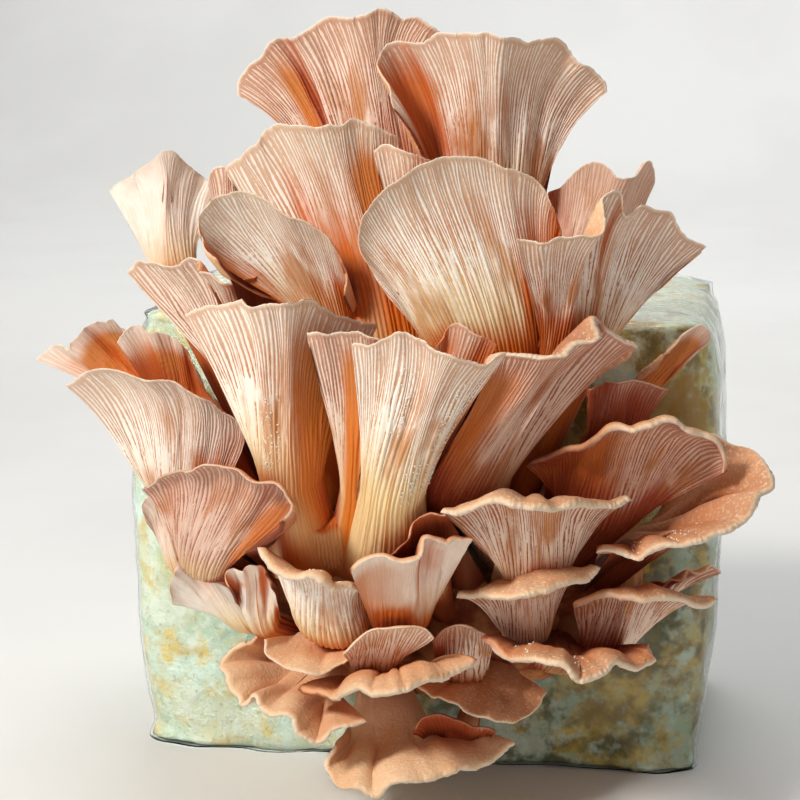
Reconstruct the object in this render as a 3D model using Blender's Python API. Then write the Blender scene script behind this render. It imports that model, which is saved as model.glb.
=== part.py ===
"""Oyster mushroom grow kit: a bagged block of sawdust and mycelium with a flush of pink oyster mushrooms.

The front faces -Y, +X is to the right, +Z is up, and the origin is the middle of the flat base.
"""

import math

import bpy
from mathutils import Vector

# Driving dimensions, in metres
BLOCK_WIDTH = 0.205
BLOCK_DEPTH = 0.124
BLOCK_HEIGHT = 0.155
FILM = 0.0006
GAP = 0.0003
WINDOW_WIDTH = 0.150
WINDOW_HEIGHT = 0.092
WINDOW_CENTRE_X = 0.006
WINDOW_CENTRE_Z = 0.072
WINDOW_CUT = 0.012
BASE_REACH = 0.026
RIM_THICKNESS = 0.0016
STEM_ROUNDNESS = 0.85
# Points on the rim of a mushroom that is small enough for two rows of faces
SMALL_RIM = 8

FRONT_Y = -BLOCK_DEPTH / 2

# Where the outlines were read: the viewer's place, and the size of one photo pixel at the block's front
VIEW_AZIMUTH = math.radians(9)
VIEW_ELEVATION = math.radians(12)
VIEW_DISTANCE = 0.75
VIEW_AIM = Vector((-0.004, FRONT_Y, 0.1275))
PIXEL = 0.000330
PHOTO_MIDDLE = 400
MM = 0.001

# Block outline seen from above: how square its corners are, and how many points a ring has
CORNER_POWER = 8
RING_POINTS = 20
# Height of each ring as a share of the block's height, its share of the full width and depth, and
# whether the film stands out there as an ear at each corner
BLOCK_RINGS = (
    (0.000, 0.915, 0.920, 1),
    (0.020, 0.940, 0.950, 0),
    (0.110, 0.965, 0.980, 0),
    (0.300, 0.990, 1.000, 0),
    (0.600, 1.000, 1.000, 0),
    (0.860, 0.990, 0.990, 0),
    (0.950, 0.960, 0.950, 0),
    (0.990, 0.910, 0.880, 1),
    (1.000, 0.840, 0.800, 0),
)
EAR_REACH = 0.006
EAR_SHARPNESS = 12

# The fused base: its reach forward at each ring and its share of the window's size there
BASE_RINGS = ((0.0, 0.96), (0.10, 0.98), (0.45, 0.97), (0.75, 0.80), (0.93, 0.52), (1.0, 0.22))
BASE_CLEARANCE = 0.0012
OVAL_POINTS = 20

# How a mushroom's outline swings from the stem to the rim, and how its stem narrows at the root
HANDLE_AT_NECK = 0.40
HANDLE_AT_RIM = 0.35
ROOT_SCALE = 0.85
NECK_THICKNESS = 0.9

CREAM = Vector((0.86, 0.62, 0.46))
ROSE = Vector((0.72, 0.38, 0.31))
CREAM_SIDE = 150
ROSE_SIDE = 650


def clear_scene():
    for found in list(bpy.data.objects):
        bpy.data.objects.remove(found, do_unlink=True)


def finish(name, colour, roughness, metallic=0.0, alpha=1.0):
    """A plain material with the piece's colour."""
    material = bpy.data.materials.new(name)
    material.use_nodes = True
    shader = material.node_tree.nodes["Principled BSDF"]
    shader.inputs["Base Color"].default_value = (*colour, 1.0)
    shader.inputs["Roughness"].default_value = roughness
    shader.inputs["Metallic"].default_value = metallic
    shader.inputs["Alpha"].default_value = alpha
    return material


def add_piece(name, points, faces, material, smooth_below=50):
    """One named object from its points and faces, shaded smooth except at sharp edges."""
    mesh = bpy.data.meshes.new(name)
    mesh.from_pydata([tuple(p) for p in points], [], faces)
    mesh.validate()
    mesh.shade_smooth()
    mesh.set_sharp_from_angle(angle=math.radians(smooth_below))
    mesh.materials.append(material)
    piece = bpy.data.objects.new(name, mesh)
    bpy.context.scene.collection.objects.link(piece)
    return piece


def add_cutter(name, points, faces):
    """A shape that only cuts others and isn't part of the object."""
    cutter = add_piece(name, points, faces, finish(name, (0.5, 0.5, 0.5), 1.0))
    cutter.hide_render = True
    cutter.display_type = "WIRE"
    return cutter


def cut(piece, cutter):
    modifier = piece.modifiers.new("cut by " + cutter.name, "BOOLEAN")
    modifier.operation = "DIFFERENCE"
    modifier.solver = "EXACT"
    modifier.object = cutter


def stack_rings(rings, flip=False):
    """Faces of a closed skin over equal rings, from the first ring's floor to the last ring's lid."""
    size = len(rings[0])
    faces = [tuple(reversed(range(size)))]
    for level in range(len(rings) - 1):
        low = level * size
        for i in range(size):
            j = (i + 1) % size
            faces.append((low + i, low + j, low + size + j, low + size + i))
    last = (len(rings) - 1) * size
    faces.append(tuple(range(last, last + size)))
    if flip:
        faces = [tuple(reversed(face)) for face in faces]
    return faces


def rounded_outline(half_width, half_depth, z, ear=0.0):
    """A squarish ring with round corners. An ear pulls the film out at the four corners."""
    ring = []
    for i in range(RING_POINTS):
        angle = 2 * math.pi * (i + 0.5) / RING_POINTS
        c, s = math.cos(angle), math.sin(angle)
        reach = (abs(c) ** CORNER_POWER + abs(s) ** CORNER_POWER) ** (-1 / CORNER_POWER)
        cornerness = (2 * abs(c * s)) ** EAR_SHARPNESS
        x = half_width * reach * c + math.copysign(ear * cornerness, c)
        y = half_depth * reach * s + math.copysign(ear * cornerness * 0.5, s)
        ring.append(Vector((x, y, z)))
    return ring


def block_rings(outset, ear_reach=0.0):
    """The sagging block's rings, moved outwards by outset, with film ears at the foot and the top."""
    bottom = FILM + GAP - outset
    top = BLOCK_HEIGHT - FILM - GAP + outset
    rings = []
    for height, wide, deep, has_ear in BLOCK_RINGS:
        z = bottom + (top - bottom) * height
        half_width = BLOCK_WIDTH / 2 * wide - FILM - GAP + outset
        half_depth = BLOCK_DEPTH / 2 * deep - FILM - GAP + outset
        rings.append(rounded_outline(half_width, half_depth, z, ear_reach * has_ear))
    return rings


def oval(half_width, half_height, y):
    """An upright oval ring round the middle of the film's window."""
    ring = []
    for i in range(OVAL_POINTS):
        angle = 2 * math.pi * i / OVAL_POINTS
        x = WINDOW_CENTRE_X + half_width * math.cos(angle)
        z = WINDOW_CENTRE_Z + half_height * math.sin(angle)
        ring.append(Vector((x, y, z)))
    return ring


def build_block():
    rings = block_rings(0.0)
    white = finish("mycelium", (0.60, 0.66, 0.52), 0.75)
    return add_piece("substrate_block", sum(rings, []), stack_rings(rings), white)


def build_bag():
    """Clear film round the block: an outer skin, a hollow 0.3 mm clear of the block, and the front window."""
    outer = block_rings(GAP + FILM, EAR_REACH)
    clear = finish("clear_film", (0.85, 0.88, 0.86), 0.12, alpha=0.35)
    bag = add_piece("grow_bag", sum(outer, []), stack_rings(outer), clear)
    inner = block_rings(GAP)
    hollow = add_cutter("bag_hollow", sum(inner, []), stack_rings(inner))
    window_ends = (FRONT_Y - WINDOW_CUT, FRONT_Y + WINDOW_CUT)
    window = [oval(WINDOW_WIDTH / 2, WINDOW_HEIGHT / 2, y) for y in window_ends]
    opening = add_cutter("bag_opening", sum(window, []), stack_rings(window, flip=True))
    cut(bag, hollow)
    cut(bag, opening)
    return bag


def base_rings(outset):
    """The fused base: an oval pad through the window that swells a little and domes forward."""
    half_width = WINDOW_WIDTH / 2 - BASE_CLEARANCE
    half_height = WINDOW_HEIGHT / 2 - BASE_CLEARANCE
    back = FRONT_Y + FILM
    rings = []
    for reach, share in BASE_RINGS:
        y = back - (BASE_REACH + outset) * reach
        rings.append(oval(half_width * share + outset, half_height * share + outset, y))
    return rings


def build_base():
    rings = base_rings(0.0)
    cream = finish("base_tissue", (0.80, 0.62, 0.48), 0.65)
    base = add_piece("cluster_base", sum(rings, []), stack_rings(rings), cream)
    clearance = base_rings(GAP)
    cutter = add_cutter("base_clearance", sum(clearance, []), stack_rings(clearance))
    return base, cutter


def photo_point(px, py, ahead):
    """The point seen at a photo pixel, that many millimetres in front of the block's face."""
    level = math.cos(VIEW_ELEVATION)
    away = Vector((math.sin(VIEW_AZIMUTH) * level, -math.cos(VIEW_AZIMUTH) * level, math.sin(VIEW_ELEVATION)))
    right = Vector((math.cos(VIEW_AZIMUTH), math.sin(VIEW_AZIMUTH), 0))
    up = away.cross(right)
    eye = VIEW_AIM + away * VIEW_DISTANCE
    ray = -away * VIEW_DISTANCE + right * (px - PHOTO_MIDDLE) * PIXEL + up * (PHOTO_MIDDLE - py) * PIXEL
    plane_y = FRONT_Y - ahead * MM
    return eye + ray * ((plane_y - eye.y) / ray.y)


def spread_along(values, share):
    """A value part of the way along a short list of evenly spaced ones, rounded like a curve."""
    place = share * (len(values) - 1)
    i = min(int(place), len(values) - 2)
    t = place - i
    before = values[max(i - 1, 0)]
    after = values[min(i + 2, len(values) - 1)]
    a, b = values[i], values[i + 1]
    slope_a = (b - before) / 2
    slope_b = (after - a) / 2
    return (
        a * (1 + 2 * t) * (1 - t) ** 2
        + b * t * t * (3 - 2 * t)
        + slope_a * t * (1 - t) ** 2
        - slope_b * t * t * (1 - t)
    )


def rim_points(rim, ahead):
    """The rim's places, with the distance forward spread along its length, and each point's share of it."""
    travelled = [0.0]
    for (x0, y0), (x1, y1) in zip(rim, rim[1:]):
        travelled.append(travelled[-1] + math.hypot(x1 - x0, y1 - y0))
    shares = [t / travelled[-1] for t in travelled]
    points = [photo_point(x, y, spread_along(ahead, s)) for (x, y), s in zip(rim, shares)]
    return points, shares


def bezier(a, b, c, d, t):
    return a * (1 - t) ** 3 + b * 3 * t * (1 - t) ** 2 + c * 3 * t * t * (1 - t) + d * t ** 3


def smooth_step(t):
    t = min(max(t, 0.0), 1.0)
    return t * t * (3 - 2 * t)


def mushroom_skins(rim, ahead, neck, root, stem, flare, wrap, fan_rows):
    """Rows of points for the gill side and the cap side of one mushroom, from its root to its rim.

    The gill side is on the viewer's side where the rim runs from left to right.
    """
    edge, shares = rim_points(rim, ahead)
    neck_middle = photo_point(*neck)
    root_middle = photo_point(*root)
    rise = (neck_middle - root_middle).normalized()
    across = edge[-1] - edge[0]
    across = (across - rise * across.dot(rise)).normalized()
    outward = across.cross(rise).normalized()
    radius = stem * MM

    def ring(middle, scale):
        angles = [math.radians(wrap) * (2 * s - 1) for s in shares]
        return [middle + (across * math.sin(a) + outward * math.cos(a)) * radius * scale for a in angles]

    root_ring = ring(root_middle, ROOT_SCALE)
    neck_ring = ring(neck_middle, 1.0)
    gill_rows = [root_ring, neck_ring]
    last = len(edge) - 1
    for row in range(1, fan_rows + 1):
        t = row / fan_rows
        line = []
        for i, tip in enumerate(edge):
            chord = tip - neck_ring[i]
            along = edge[min(i + 1, last)] - edge[max(i - 1, 0)]
            gill_normal = along.cross(chord).normalized()
            tip_way = (chord.normalized() + gill_normal * flare).normalized()
            reach = chord.length
            leaving = neck_ring[i] + rise * reach * HANDLE_AT_NECK
            arriving = tip - tip_way * reach * HANDLE_AT_RIM
            line.append(bezier(neck_ring[i], leaving, arriving, tip, t))
        gill_rows.append(line)

    cap_rows = []
    for row, line in enumerate(gill_rows):
        t = max(row - 1, 0) / fan_rows
        fan_share = smooth_step(t / 0.5)
        thickness = RIM_THICKNESS + (radius * NECK_THICKNESS - RIM_THICKNESS) * (1 - t) ** 2
        cap_line = []
        for i, point in enumerate(line):
            angle = math.radians(wrap) * (2 * shares[i] - 1)
            stem_depth = max(2 * radius * STEM_ROUNDNESS * math.cos(angle), RIM_THICKNESS)
            along = line[min(i + 1, last)] - line[max(i - 1, 0)]
            above = gill_rows[min(row + 1, fan_rows + 1)][i] - gill_rows[max(row - 1, 0)][i]
            normal = along.cross(above).normalized()
            inward = -outward * stem_depth * (1 - fan_share) - normal * thickness * fan_share
            cap_line.append(point + inward)
        cap_rows.append(cap_line)
    return gill_rows, cap_rows


def skins_to_faces(rows, columns):
    """Faces that close the gill side and the cap side at the rim, the root and both edges."""
    def gill(row, column):
        return row * columns + column

    def cap(row, column):
        return (rows + row) * columns + column

    faces = []
    for r in range(rows - 1):
        for c in range(columns - 1):
            faces.append((gill(r, c), gill(r, c + 1), gill(r + 1, c + 1), gill(r + 1, c)))
            faces.append((cap(r, c), cap(r + 1, c), cap(r + 1, c + 1), cap(r, c + 1)))
        faces.append((gill(r, 0), gill(r + 1, 0), cap(r + 1, 0), cap(r, 0)))
        end = columns - 1
        faces.append((gill(r, end), cap(r, end), cap(r + 1, end), gill(r + 1, end)))
    top = rows - 1
    for c in range(columns - 1):
        faces.append((gill(0, c), cap(0, c), cap(0, c + 1), gill(0, c + 1)))
        faces.append((gill(top, c), gill(top, c + 1), cap(top, c + 1), cap(top, c)))
    return faces


def mushroom(name, rim, ahead, neck, root, stem=8, flare=0.5, wrap=90):
    """One mushroom: a stem of stem mm radius from the root to the neck, opening to a fan with the given rim.

    The rim, neck and root are photo pixels, each with its distance in mm in front of the block's face.
    """
    fan_rows = 3 if len(rim) > SMALL_RIM else 2
    gill_rows, cap_rows = mushroom_skins(rim, ahead, neck, root, stem, flare, wrap, fan_rows)
    points = sum(gill_rows, []) + sum(cap_rows, [])
    faces = skins_to_faces(len(gill_rows), len(rim))
    rosiness = min(max((neck[0] - CREAM_SIDE) / (ROSE_SIDE - CREAM_SIDE), 0), 1)
    flesh = finish(name + "_flesh", CREAM.lerp(ROSE, rosiness), 0.6)
    return add_piece(name, points, faces, flesh)


def build_flush():
    """Every mushroom of the flush, from the back of the fan to the front, then the shelves below."""
    return [
        # The tall pair at the top, behind the rest
        mushroom(
            "mushroom_top_left",
            rim=[(237, 92), (240, 74), (256, 60), (272, 42), (291, 38), (309, 27), (326, 18), (342, 15),
                 (367, 13), (377, 6), (390, 11), (404, 20), (418, 17), (440, 32)],
            ahead=(-6, 10, 6), neck=(392, 190, 10), root=(365, 465, 11), stem=8, flare=0.45,
        ),
        mushroom(
            "mushroom_top_right",
            rim=[(378, 56), (388, 48), (406, 43), (423, 40), (440, 33), (460, 33), (474, 36), (488, 32),
                 (501, 34), (518, 37), (528, 42), (536, 38), (564, 41), (574, 58), (592, 66), (602, 78),
                 (609, 91), (592, 105)],
            ahead=(24, 44, 22), neck=(478, 200, 26), root=(470, 465, 11), stem=9, flare=0.45,
        ),
        # Second tier, fanned out to both sides
        mushroom(
            "mushroom_upper_right_back",
            rim=[(548, 192), (562, 186), (569, 178), (584, 165), (600, 164), (610, 169), (617, 178),
                 (633, 175), (648, 161), (656, 178), (650, 196)],
            ahead=(14, 22, 10), neck=(588, 262, 10), root=(520, 480, 10), stem=8, flare=0.3,
        ),
        mushroom(
            "mushroom_upper_left_outer",
            rim=[(110, 192), (116, 184), (131, 175), (143, 167), (153, 160), (165, 149), (173, 152),
                 (190, 167), (202, 176), (217, 187)],
            ahead=(0, 14, 2), neck=(178, 275, 8), root=(285, 500, 8), stem=6, flare=0.5,
        ),
        mushroom(
            "mushroom_upper_left_curl",
            rim=[(208, 184), (214, 168), (223, 165), (233, 176), (243, 194)],
            ahead=(12, 14, 12), neck=(236, 250, 11), root=(322, 478, 8), stem=4, flare=0.2,
        ),
        mushroom(
            "mushroom_second_left",
            rim=[(226, 168), (233, 161), (246, 152), (258, 140), (276, 124), (291, 122), (316, 125),
                 (341, 124), (358, 119), (373, 124), (390, 131), (401, 140), (404, 152)],
            ahead=(22, 40, 30), neck=(383, 330, 34), root=(385, 515, 22), stem=8, flare=0.45,
        ),
        mushroom(
            "mushroom_second_wedge",
            rim=[(373, 150), (382, 146), (402, 148), (423, 156), (446, 168)],
            ahead=(42, 44, 42), neck=(424, 300, 34), root=(430, 480, 12), stem=4, flare=0.2,
        ),
        mushroom(
            "mushroom_left_round",
            rim=[(198, 235), (197, 217), (203, 208), (218, 198), (232, 194), (244, 193), (260, 197),
                 (283, 211), (312, 227), (330, 245), (341, 260), (345, 275), (342, 296)],
            ahead=(42, 56, 46), neck=(325, 330, 42), root=(338, 515, 20), stem=7, flare=0.5,
        ),
        # The big round fan in the middle, and the fan folded forward beside it
        mushroom(
            "mushroom_centre_round",
            rim=[(400, 294), (374, 274), (364, 256), (359, 239), (362, 220), (376, 197), (397, 180),
                 (425, 163), (444, 157), (468, 156), (492, 161), (515, 171), (534, 178), (548, 197),
                 (558, 218), (559, 238)],
            ahead=(54, 60, 62, 58, 46), neck=(462, 338, 48), root=(436, 505, 23), stem=11, flare=0.5,
        ),
        mushroom(
            "mushroom_right_fold",
            rim=[(517, 240), (540, 242), (558, 239), (576, 237), (600, 231), (609, 199), (619, 193),
                 (626, 215), (640, 203), (657, 211), (673, 213), (678, 227), (690, 239), (706, 248),
                 (690, 258), (668, 274)],
            ahead=(70, 66, 52, 38, 28), neck=(560, 345, 42), root=(500, 530, 22), stem=8, flare=0.4,
        ),
        mushroom(
            "mushroom_left_middle",
            rim=[(127, 272), (135, 262), (150, 261), (175, 266), (190, 258), (197, 262), (196, 271),
                 (209, 275), (226, 281), (251, 280), (269, 275), (281, 281), (292, 292)],
            ahead=(22, 40, 46, 36), neck=(262, 400, 26), root=(300, 535, 14), stem=7, flare=0.45,
        ),
        # The tall front fans, gills towards the viewer
        mushroom(
            "mushroom_front_left",
            rim=[(183, 315), (209, 307), (236, 305), (240, 295), (249, 292), (258, 300), (250, 306),
                 (283, 303), (310, 300), (316, 306), (335, 318), (358, 321), (378, 322)],
            ahead=(50, 66, 78, 68, 56), neck=(292, 480, 54), root=(309, 570, 22), stem=10, flare=0.45,
        ),
        mushroom(
            "mushroom_front_centre_left",
            rim=[(306, 332), (330, 335), (358, 333), (380, 338), (396, 346)],
            ahead=(72, 76, 76), neck=(343, 500, 58), root=(350, 578, 24), stem=6, flare=0.4,
        ),
        mushroom(
            "mushroom_front_centre",
            rim=[(351, 346), (371, 343), (386, 336), (398, 328), (405, 330), (414, 341), (434, 350),
                 (452, 357), (493, 357), (508, 351)],
            ahead=(84, 92, 98, 86), neck=(398, 500, 66), root=(394, 578, 24), stem=10, flare=0.4,
        ),
        mushroom(
            "mushroom_front_centre_curl",
            rim=[(436, 346), (445, 337), (452, 327), (464, 326), (479, 334), (497, 344)],
            ahead=(64, 66, 64), neck=(433, 440, 58), root=(432, 576, 24), stem=3, flare=0.2,
        ),
        mushroom(
            "mushroom_right_centre",
            rim=[(489, 372), (493, 358), (512, 355), (527, 357), (552, 356), (565, 357), (581, 347),
                 (602, 335), (596, 320), (611, 332), (637, 349), (616, 360), (601, 368)],
            ahead=(72, 74, 62, 44), neck=(466, 482, 56), root=(464, 573, 26), stem=9, flare=0.5,
        ),
        # The right side
        mushroom(
            "mushroom_right_slim",
            rim=[(650, 374), (662, 357), (675, 344), (690, 330), (705, 327), (712, 333), (705, 345),
                 (690, 358), (672, 375)],
            ahead=(16, 14, 12), neck=(628, 398, 12), root=(585, 500, 7), stem=5, flare=0.3,
        ),
        mushroom(
            "mushroom_right_small",
            rim=[(588, 388), (605, 384), (625, 383), (646, 384), (668, 388)],
            ahead=(40, 46, 36), neck=(608, 440, 32), root=(530, 545, 14), stem=5, flare=0.3,
        ),
        mushroom(
            "mushroom_right_bracket",
            rim=[(526, 464), (547, 460), (574, 453), (596, 442), (619, 433), (645, 427), (670, 427),
                 (692, 434), (715, 446), (727, 462), (724, 473)],
            ahead=(50, 62, 46), neck=(596, 508, 38), root=(548, 575, 14), stem=7, flare=0.5,
        ),
        mushroom(
            "mushroom_far_right",
            rim=[(596, 554), (612, 556), (641, 555), (685, 547), (719, 538), (739, 525), (752, 514),
                 (762, 500), (775, 486), (768, 465), (752, 449), (737, 445), (721, 437), (708, 433)],
            ahead=(66, 66, 48, 18), neck=(634, 546, 20), root=(585, 592, 8), stem=7, flare=0.5,
        ),
        mushroom(
            "mushroom_centre_right_shelf",
            rim=[(440, 514), (462, 512), (485, 508), (529, 509), (563, 511), (596, 509), (623, 506),
                 (634, 502)],
            ahead=(80, 86, 62), neck=(534, 572, 50), root=(508, 588, 17), stem=8, flare=0.6,
        ),
        # The left side
        mushroom(
            "mushroom_far_left_small",
            rim=[(36, 358), (50, 350), (65, 351), (75, 336), (95, 322), (110, 320), (126, 328)],
            ahead=(4, 10, 4), neck=(150, 395, 6), root=(262, 500, 6), stem=5, flare=0.4,
        ),
        mushroom(
            "mushroom_left_behind",
            rim=[(118, 342), (126, 327), (145, 325), (165, 335), (178, 347), (192, 364)],
            ahead=(22, 24, 20), neck=(195, 415, 22), root=(285, 545, 14), stem=5, flare=0.3,
        ),
        mushroom(
            "mushroom_left_large",
            rim=[(66, 383), (80, 375), (100, 372), (130, 374), (160, 380), (180, 390), (210, 400),
                 (225, 413), (244, 427)],
            ahead=(18, 42, 36), neck=(205, 520, 22), root=(275, 565, 9), stem=9, flare=0.5,
        ),
        mushroom(
            "mushroom_left_lower",
            rim=[(142, 489), (158, 479), (179, 471), (199, 468), (230, 470), (255, 479), (275, 489),
                 (291, 505), (279, 522)],
            ahead=(40, 66, 74), neck=(206, 556, 42), root=(296, 600, 14), stem=8, flare=0.5,
        ),
        mushroom(
            "mushroom_left_frill",
            rim=[(146, 520), (142, 503), (152, 498), (163, 507), (168, 524)],
            ahead=(24, 30, 26), neck=(180, 562, 20), root=(262, 600, 7), stem=4, flare=0.3,
        ),
        # The low shelves in the middle
        mushroom(
            "mushroom_centre_shelf",
            rim=[(255, 549), (264, 560), (274, 570), (287, 578), (305, 583), (326, 589), (348, 587),
                 (363, 591), (368, 574)],
            ahead=(62, 78, 60), neck=(332, 622, 48), root=(360, 622, 14), stem=8, flare=0.5,
        ),
        mushroom(
            "mushroom_centre_wavy",
            rim=[(384, 556), (400, 551), (411, 541), (416, 521), (429, 512), (446, 513), (464, 506)],
            ahead=(73, 76, 74), neck=(432, 588, 46), root=(448, 620, 14), stem=4, flare=0.3,
        ),
        mushroom(
            "mushroom_centre_fold",
            rim=[(352, 574), (363, 565), (385, 559), (404, 561), (428, 550), (444, 542), (473, 540)],
            ahead=(78, 82, 76), neck=(402, 622, 54), root=(400, 632, 16), stem=6, flare=0.4,
        ),
        mushroom(
            "mushroom_lower_left_pale",
            rim=[(170, 568), (173, 590), (183, 608), (204, 619), (222, 626), (240, 623), (254, 617)],
            ahead=(26, 40, 34), neck=(238, 606, 18), root=(272, 622, 7), stem=5, flare=0.3,
        ),
        mushroom(
            "mushroom_lower_left_bud",
            rim=[(231, 586), (240, 571), (257, 568), (272, 580), (277, 598)],
            ahead=(50, 52, 50), neck=(264, 624, 38), root=(325, 640, 12), stem=5, flare=0.3,
        ),
        mushroom(
            "mushroom_lower_centre_fold",
            rim=[(286, 632), (303, 626), (322, 633), (340, 643), (356, 656), (370, 663)],
            ahead=(60, 70, 64), neck=(350, 672, 44), root=(350, 648, 12), stem=5, flare=0.3,
        ),
        mushroom(
            "mushroom_lower_centre_small",
            rim=[(364, 640), (380, 633), (398, 629), (418, 632), (434, 642)],
            ahead=(62, 66, 60), neck=(402, 670, 42), root=(425, 665, 14), stem=5, flare=0.3,
        ),
        mushroom(
            "mushroom_lower_right_small",
            rim=[(432, 642), (446, 630), (463, 626), (480, 631), (494, 644)],
            ahead=(50, 54, 48), neck=(462, 668, 36), root=(462, 650, 16), stem=6, flare=0.3,
        ),
        # The right-hand shelves
        mushroom(
            "mushroom_right_low_shelf",
            rim=[(456, 597), (485, 600), (502, 601), (529, 597), (565, 588), (592, 579), (601, 567)],
            ahead=(58, 74, 56), neck=(526, 630, 38), root=(515, 632, 12), stem=7, flare=0.6,
        ),
        mushroom(
            "mushroom_lower_right_shelf",
            rim=[(574, 608), (590, 603), (611, 600), (640, 600), (668, 604), (700, 606), (719, 600)],
            ahead=(48, 60, 34), neck=(604, 640, 28), root=(565, 625, 12), stem=8, flare=0.5,
        ),
        mushroom(
            "mushroom_right_ruffle",
            rim=[(640, 590), (663, 582), (690, 577), (712, 566), (721, 574)],
            ahead=(30, 30, 20), neck=(640, 612, 16), root=(590, 605, 10), stem=6, flare=0.3,
        ),
        mushroom(
            "mushroom_lower_right_cap",
            rim=[(480, 640), (495, 652), (512, 660), (545, 666), (566, 670), (573, 678), (589, 683),
                 (609, 675), (617, 665), (642, 670), (656, 662), (648, 644)],
            ahead=(58, 82, 74, 46), neck=(560, 668, 30), root=(540, 662, 10), stem=8, flare=0.5,
        ),
        mushroom(
            "mushroom_lower_right_smooth",
            rim=[(428, 686), (440, 698), (461, 709), (484, 719), (510, 723), (528, 716), (540, 706),
                 (547, 692)],
            ahead=(44, 58, 28), neck=(492, 690, 26), root=(480, 672, 8), stem=6, flare=0.3,
        ),
        # The frilled caps at the bottom
        mushroom(
            "mushroom_lower_centre_frilled",
            rim=[(297, 691), (313, 696), (335, 698), (359, 691), (376, 697), (400, 691), (430, 683),
                 (461, 672), (477, 658)],
            ahead=(56, 80, 60), neck=(385, 700, 38), root=(385, 690, 10), stem=7, flare=0.6,
        ),
        mushroom(
            "mushroom_lower_left_frilled",
            rim=[(257, 632), (240, 640), (222, 663), (230, 688), (242, 707), (253, 698), (268, 719),
                 (286, 719), (301, 734), (324, 739), (350, 730), (364, 718)],
            ahead=(30, 52, 66, 60), neck=(318, 694, 24), root=(340, 675, 8), stem=8, flare=0.5,
        ),
        mushroom(
            "mushroom_bottom",
            rim=[(333, 744), (326, 760), (338, 788), (357, 793), (376, 798), (389, 789), (428, 781),
                 (451, 775), (494, 763), (516, 745)],
            ahead=(50, 64, 42), neck=(405, 745, 26), root=(425, 695, 8), stem=7, flare=0.5,
        ),
        mushroom(
            "mushroom_bottom_small",
            rim=[(412, 734), (423, 722), (447, 718), (475, 725), (495, 735)],
            ahead=(46, 50, 44), neck=(458, 750, 28), root=(475, 700, 7), stem=4, flare=0.2,
        ),
    ]


def build():
    clear_scene()
    build_block()
    build_bag()
    base, clearance = build_base()
    for piece in build_flush():
        cut(piece, clearance)


build()
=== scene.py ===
import math

import bpy
import numpy as np
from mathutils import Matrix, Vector
from mathutils.bvhtree import BVHTree


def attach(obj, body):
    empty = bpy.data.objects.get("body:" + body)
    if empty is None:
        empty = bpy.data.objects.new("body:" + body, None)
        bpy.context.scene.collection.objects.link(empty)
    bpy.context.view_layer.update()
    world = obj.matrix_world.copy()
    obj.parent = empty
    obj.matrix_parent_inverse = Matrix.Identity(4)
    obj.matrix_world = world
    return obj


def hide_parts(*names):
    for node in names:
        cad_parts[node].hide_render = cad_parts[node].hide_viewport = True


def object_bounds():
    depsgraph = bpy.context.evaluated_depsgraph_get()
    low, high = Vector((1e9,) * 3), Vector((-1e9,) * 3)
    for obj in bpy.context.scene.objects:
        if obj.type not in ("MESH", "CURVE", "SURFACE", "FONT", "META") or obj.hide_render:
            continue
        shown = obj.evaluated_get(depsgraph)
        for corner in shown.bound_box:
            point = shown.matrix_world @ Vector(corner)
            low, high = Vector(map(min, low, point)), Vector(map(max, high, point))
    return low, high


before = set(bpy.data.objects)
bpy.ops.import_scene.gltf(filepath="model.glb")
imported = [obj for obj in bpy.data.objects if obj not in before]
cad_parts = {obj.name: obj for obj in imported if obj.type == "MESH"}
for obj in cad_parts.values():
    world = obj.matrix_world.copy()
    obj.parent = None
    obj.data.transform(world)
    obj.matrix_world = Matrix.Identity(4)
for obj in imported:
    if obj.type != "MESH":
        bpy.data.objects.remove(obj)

cad_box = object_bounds()

# The substrate block: sawdust pressed in a bag and grown through by white mycelium, so it holds together like a
# soft loaf. It sags a little, its edges are round, and amber water stands in the hollows under the film.
BLOCK_WIDTH = 0.205
BLOCK_DEPTH = 0.124
BLOCK_HEIGHT = 0.155
FRONT_Y = -BLOCK_DEPTH / 2
CORNER_POWER = 8
# Shares of the height, and the share of the full width and of the full depth there
BLOCK_PROFILE = np.array((
    (0.000, 0.915, 0.920), (0.020, 0.940, 0.950), (0.110, 0.965, 0.980), (0.300, 0.990, 1.000),
    (0.600, 1.000, 1.000), (0.860, 0.990, 0.990), (0.950, 0.960, 0.950), (0.990, 0.910, 0.880),
    (1.000, 0.840, 0.800),
))
BLOCK_CUTS = 84
BLOCK_INSET = 0.0006
LUMP_SIZE = 0.030
LUMP_DEPTH = 0.0016
CRUMB_SIZE = 0.006
CRUMB_DEPTH = 0.0005
EAR_REACH = 0.006
EAR_SHARPNESS = 12
EAR_HEIGHT = 0.0035
EAR_TOP = 0.99 * BLOCK_HEIGHT
WAVES_IN_LAYER = 5
LAYER_WEIGHT = 0.6
LAYER_FINENESS = 1.7


def use_alone(piece):
    """Selects one object and nothing else."""
    bpy.ops.object.select_all(action="DESELECT")
    piece.select_set(True)
    bpy.context.view_layer.objects.active = piece


def add_piece(shape, name, **settings):
    """A new object made by one of Blender's operators."""
    bpy.ops.object.select_all(action="DESELECT")
    shape(**settings)
    bpy.context.active_object.name = name
    return bpy.context.active_object


def shade_smooth(piece):
    """Smooth shading all over a piece."""
    use_alone(piece)
    bpy.ops.object.shade_smooth()


def read(items, name, width=3):
    """One value of each point or face, a row each."""
    values = np.empty(len(items) * width)
    items.foreach_get(name, values)
    return values.reshape(-1, width)


def points_of(piece):
    """The places of a piece's points."""
    return read(piece.data.vertices, "co")


def put_points(piece, places):
    """Moves a piece's points to new places."""
    piece.data.vertices.foreach_set("co", np.asarray(places, float).ravel())
    piece.data.update()


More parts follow.
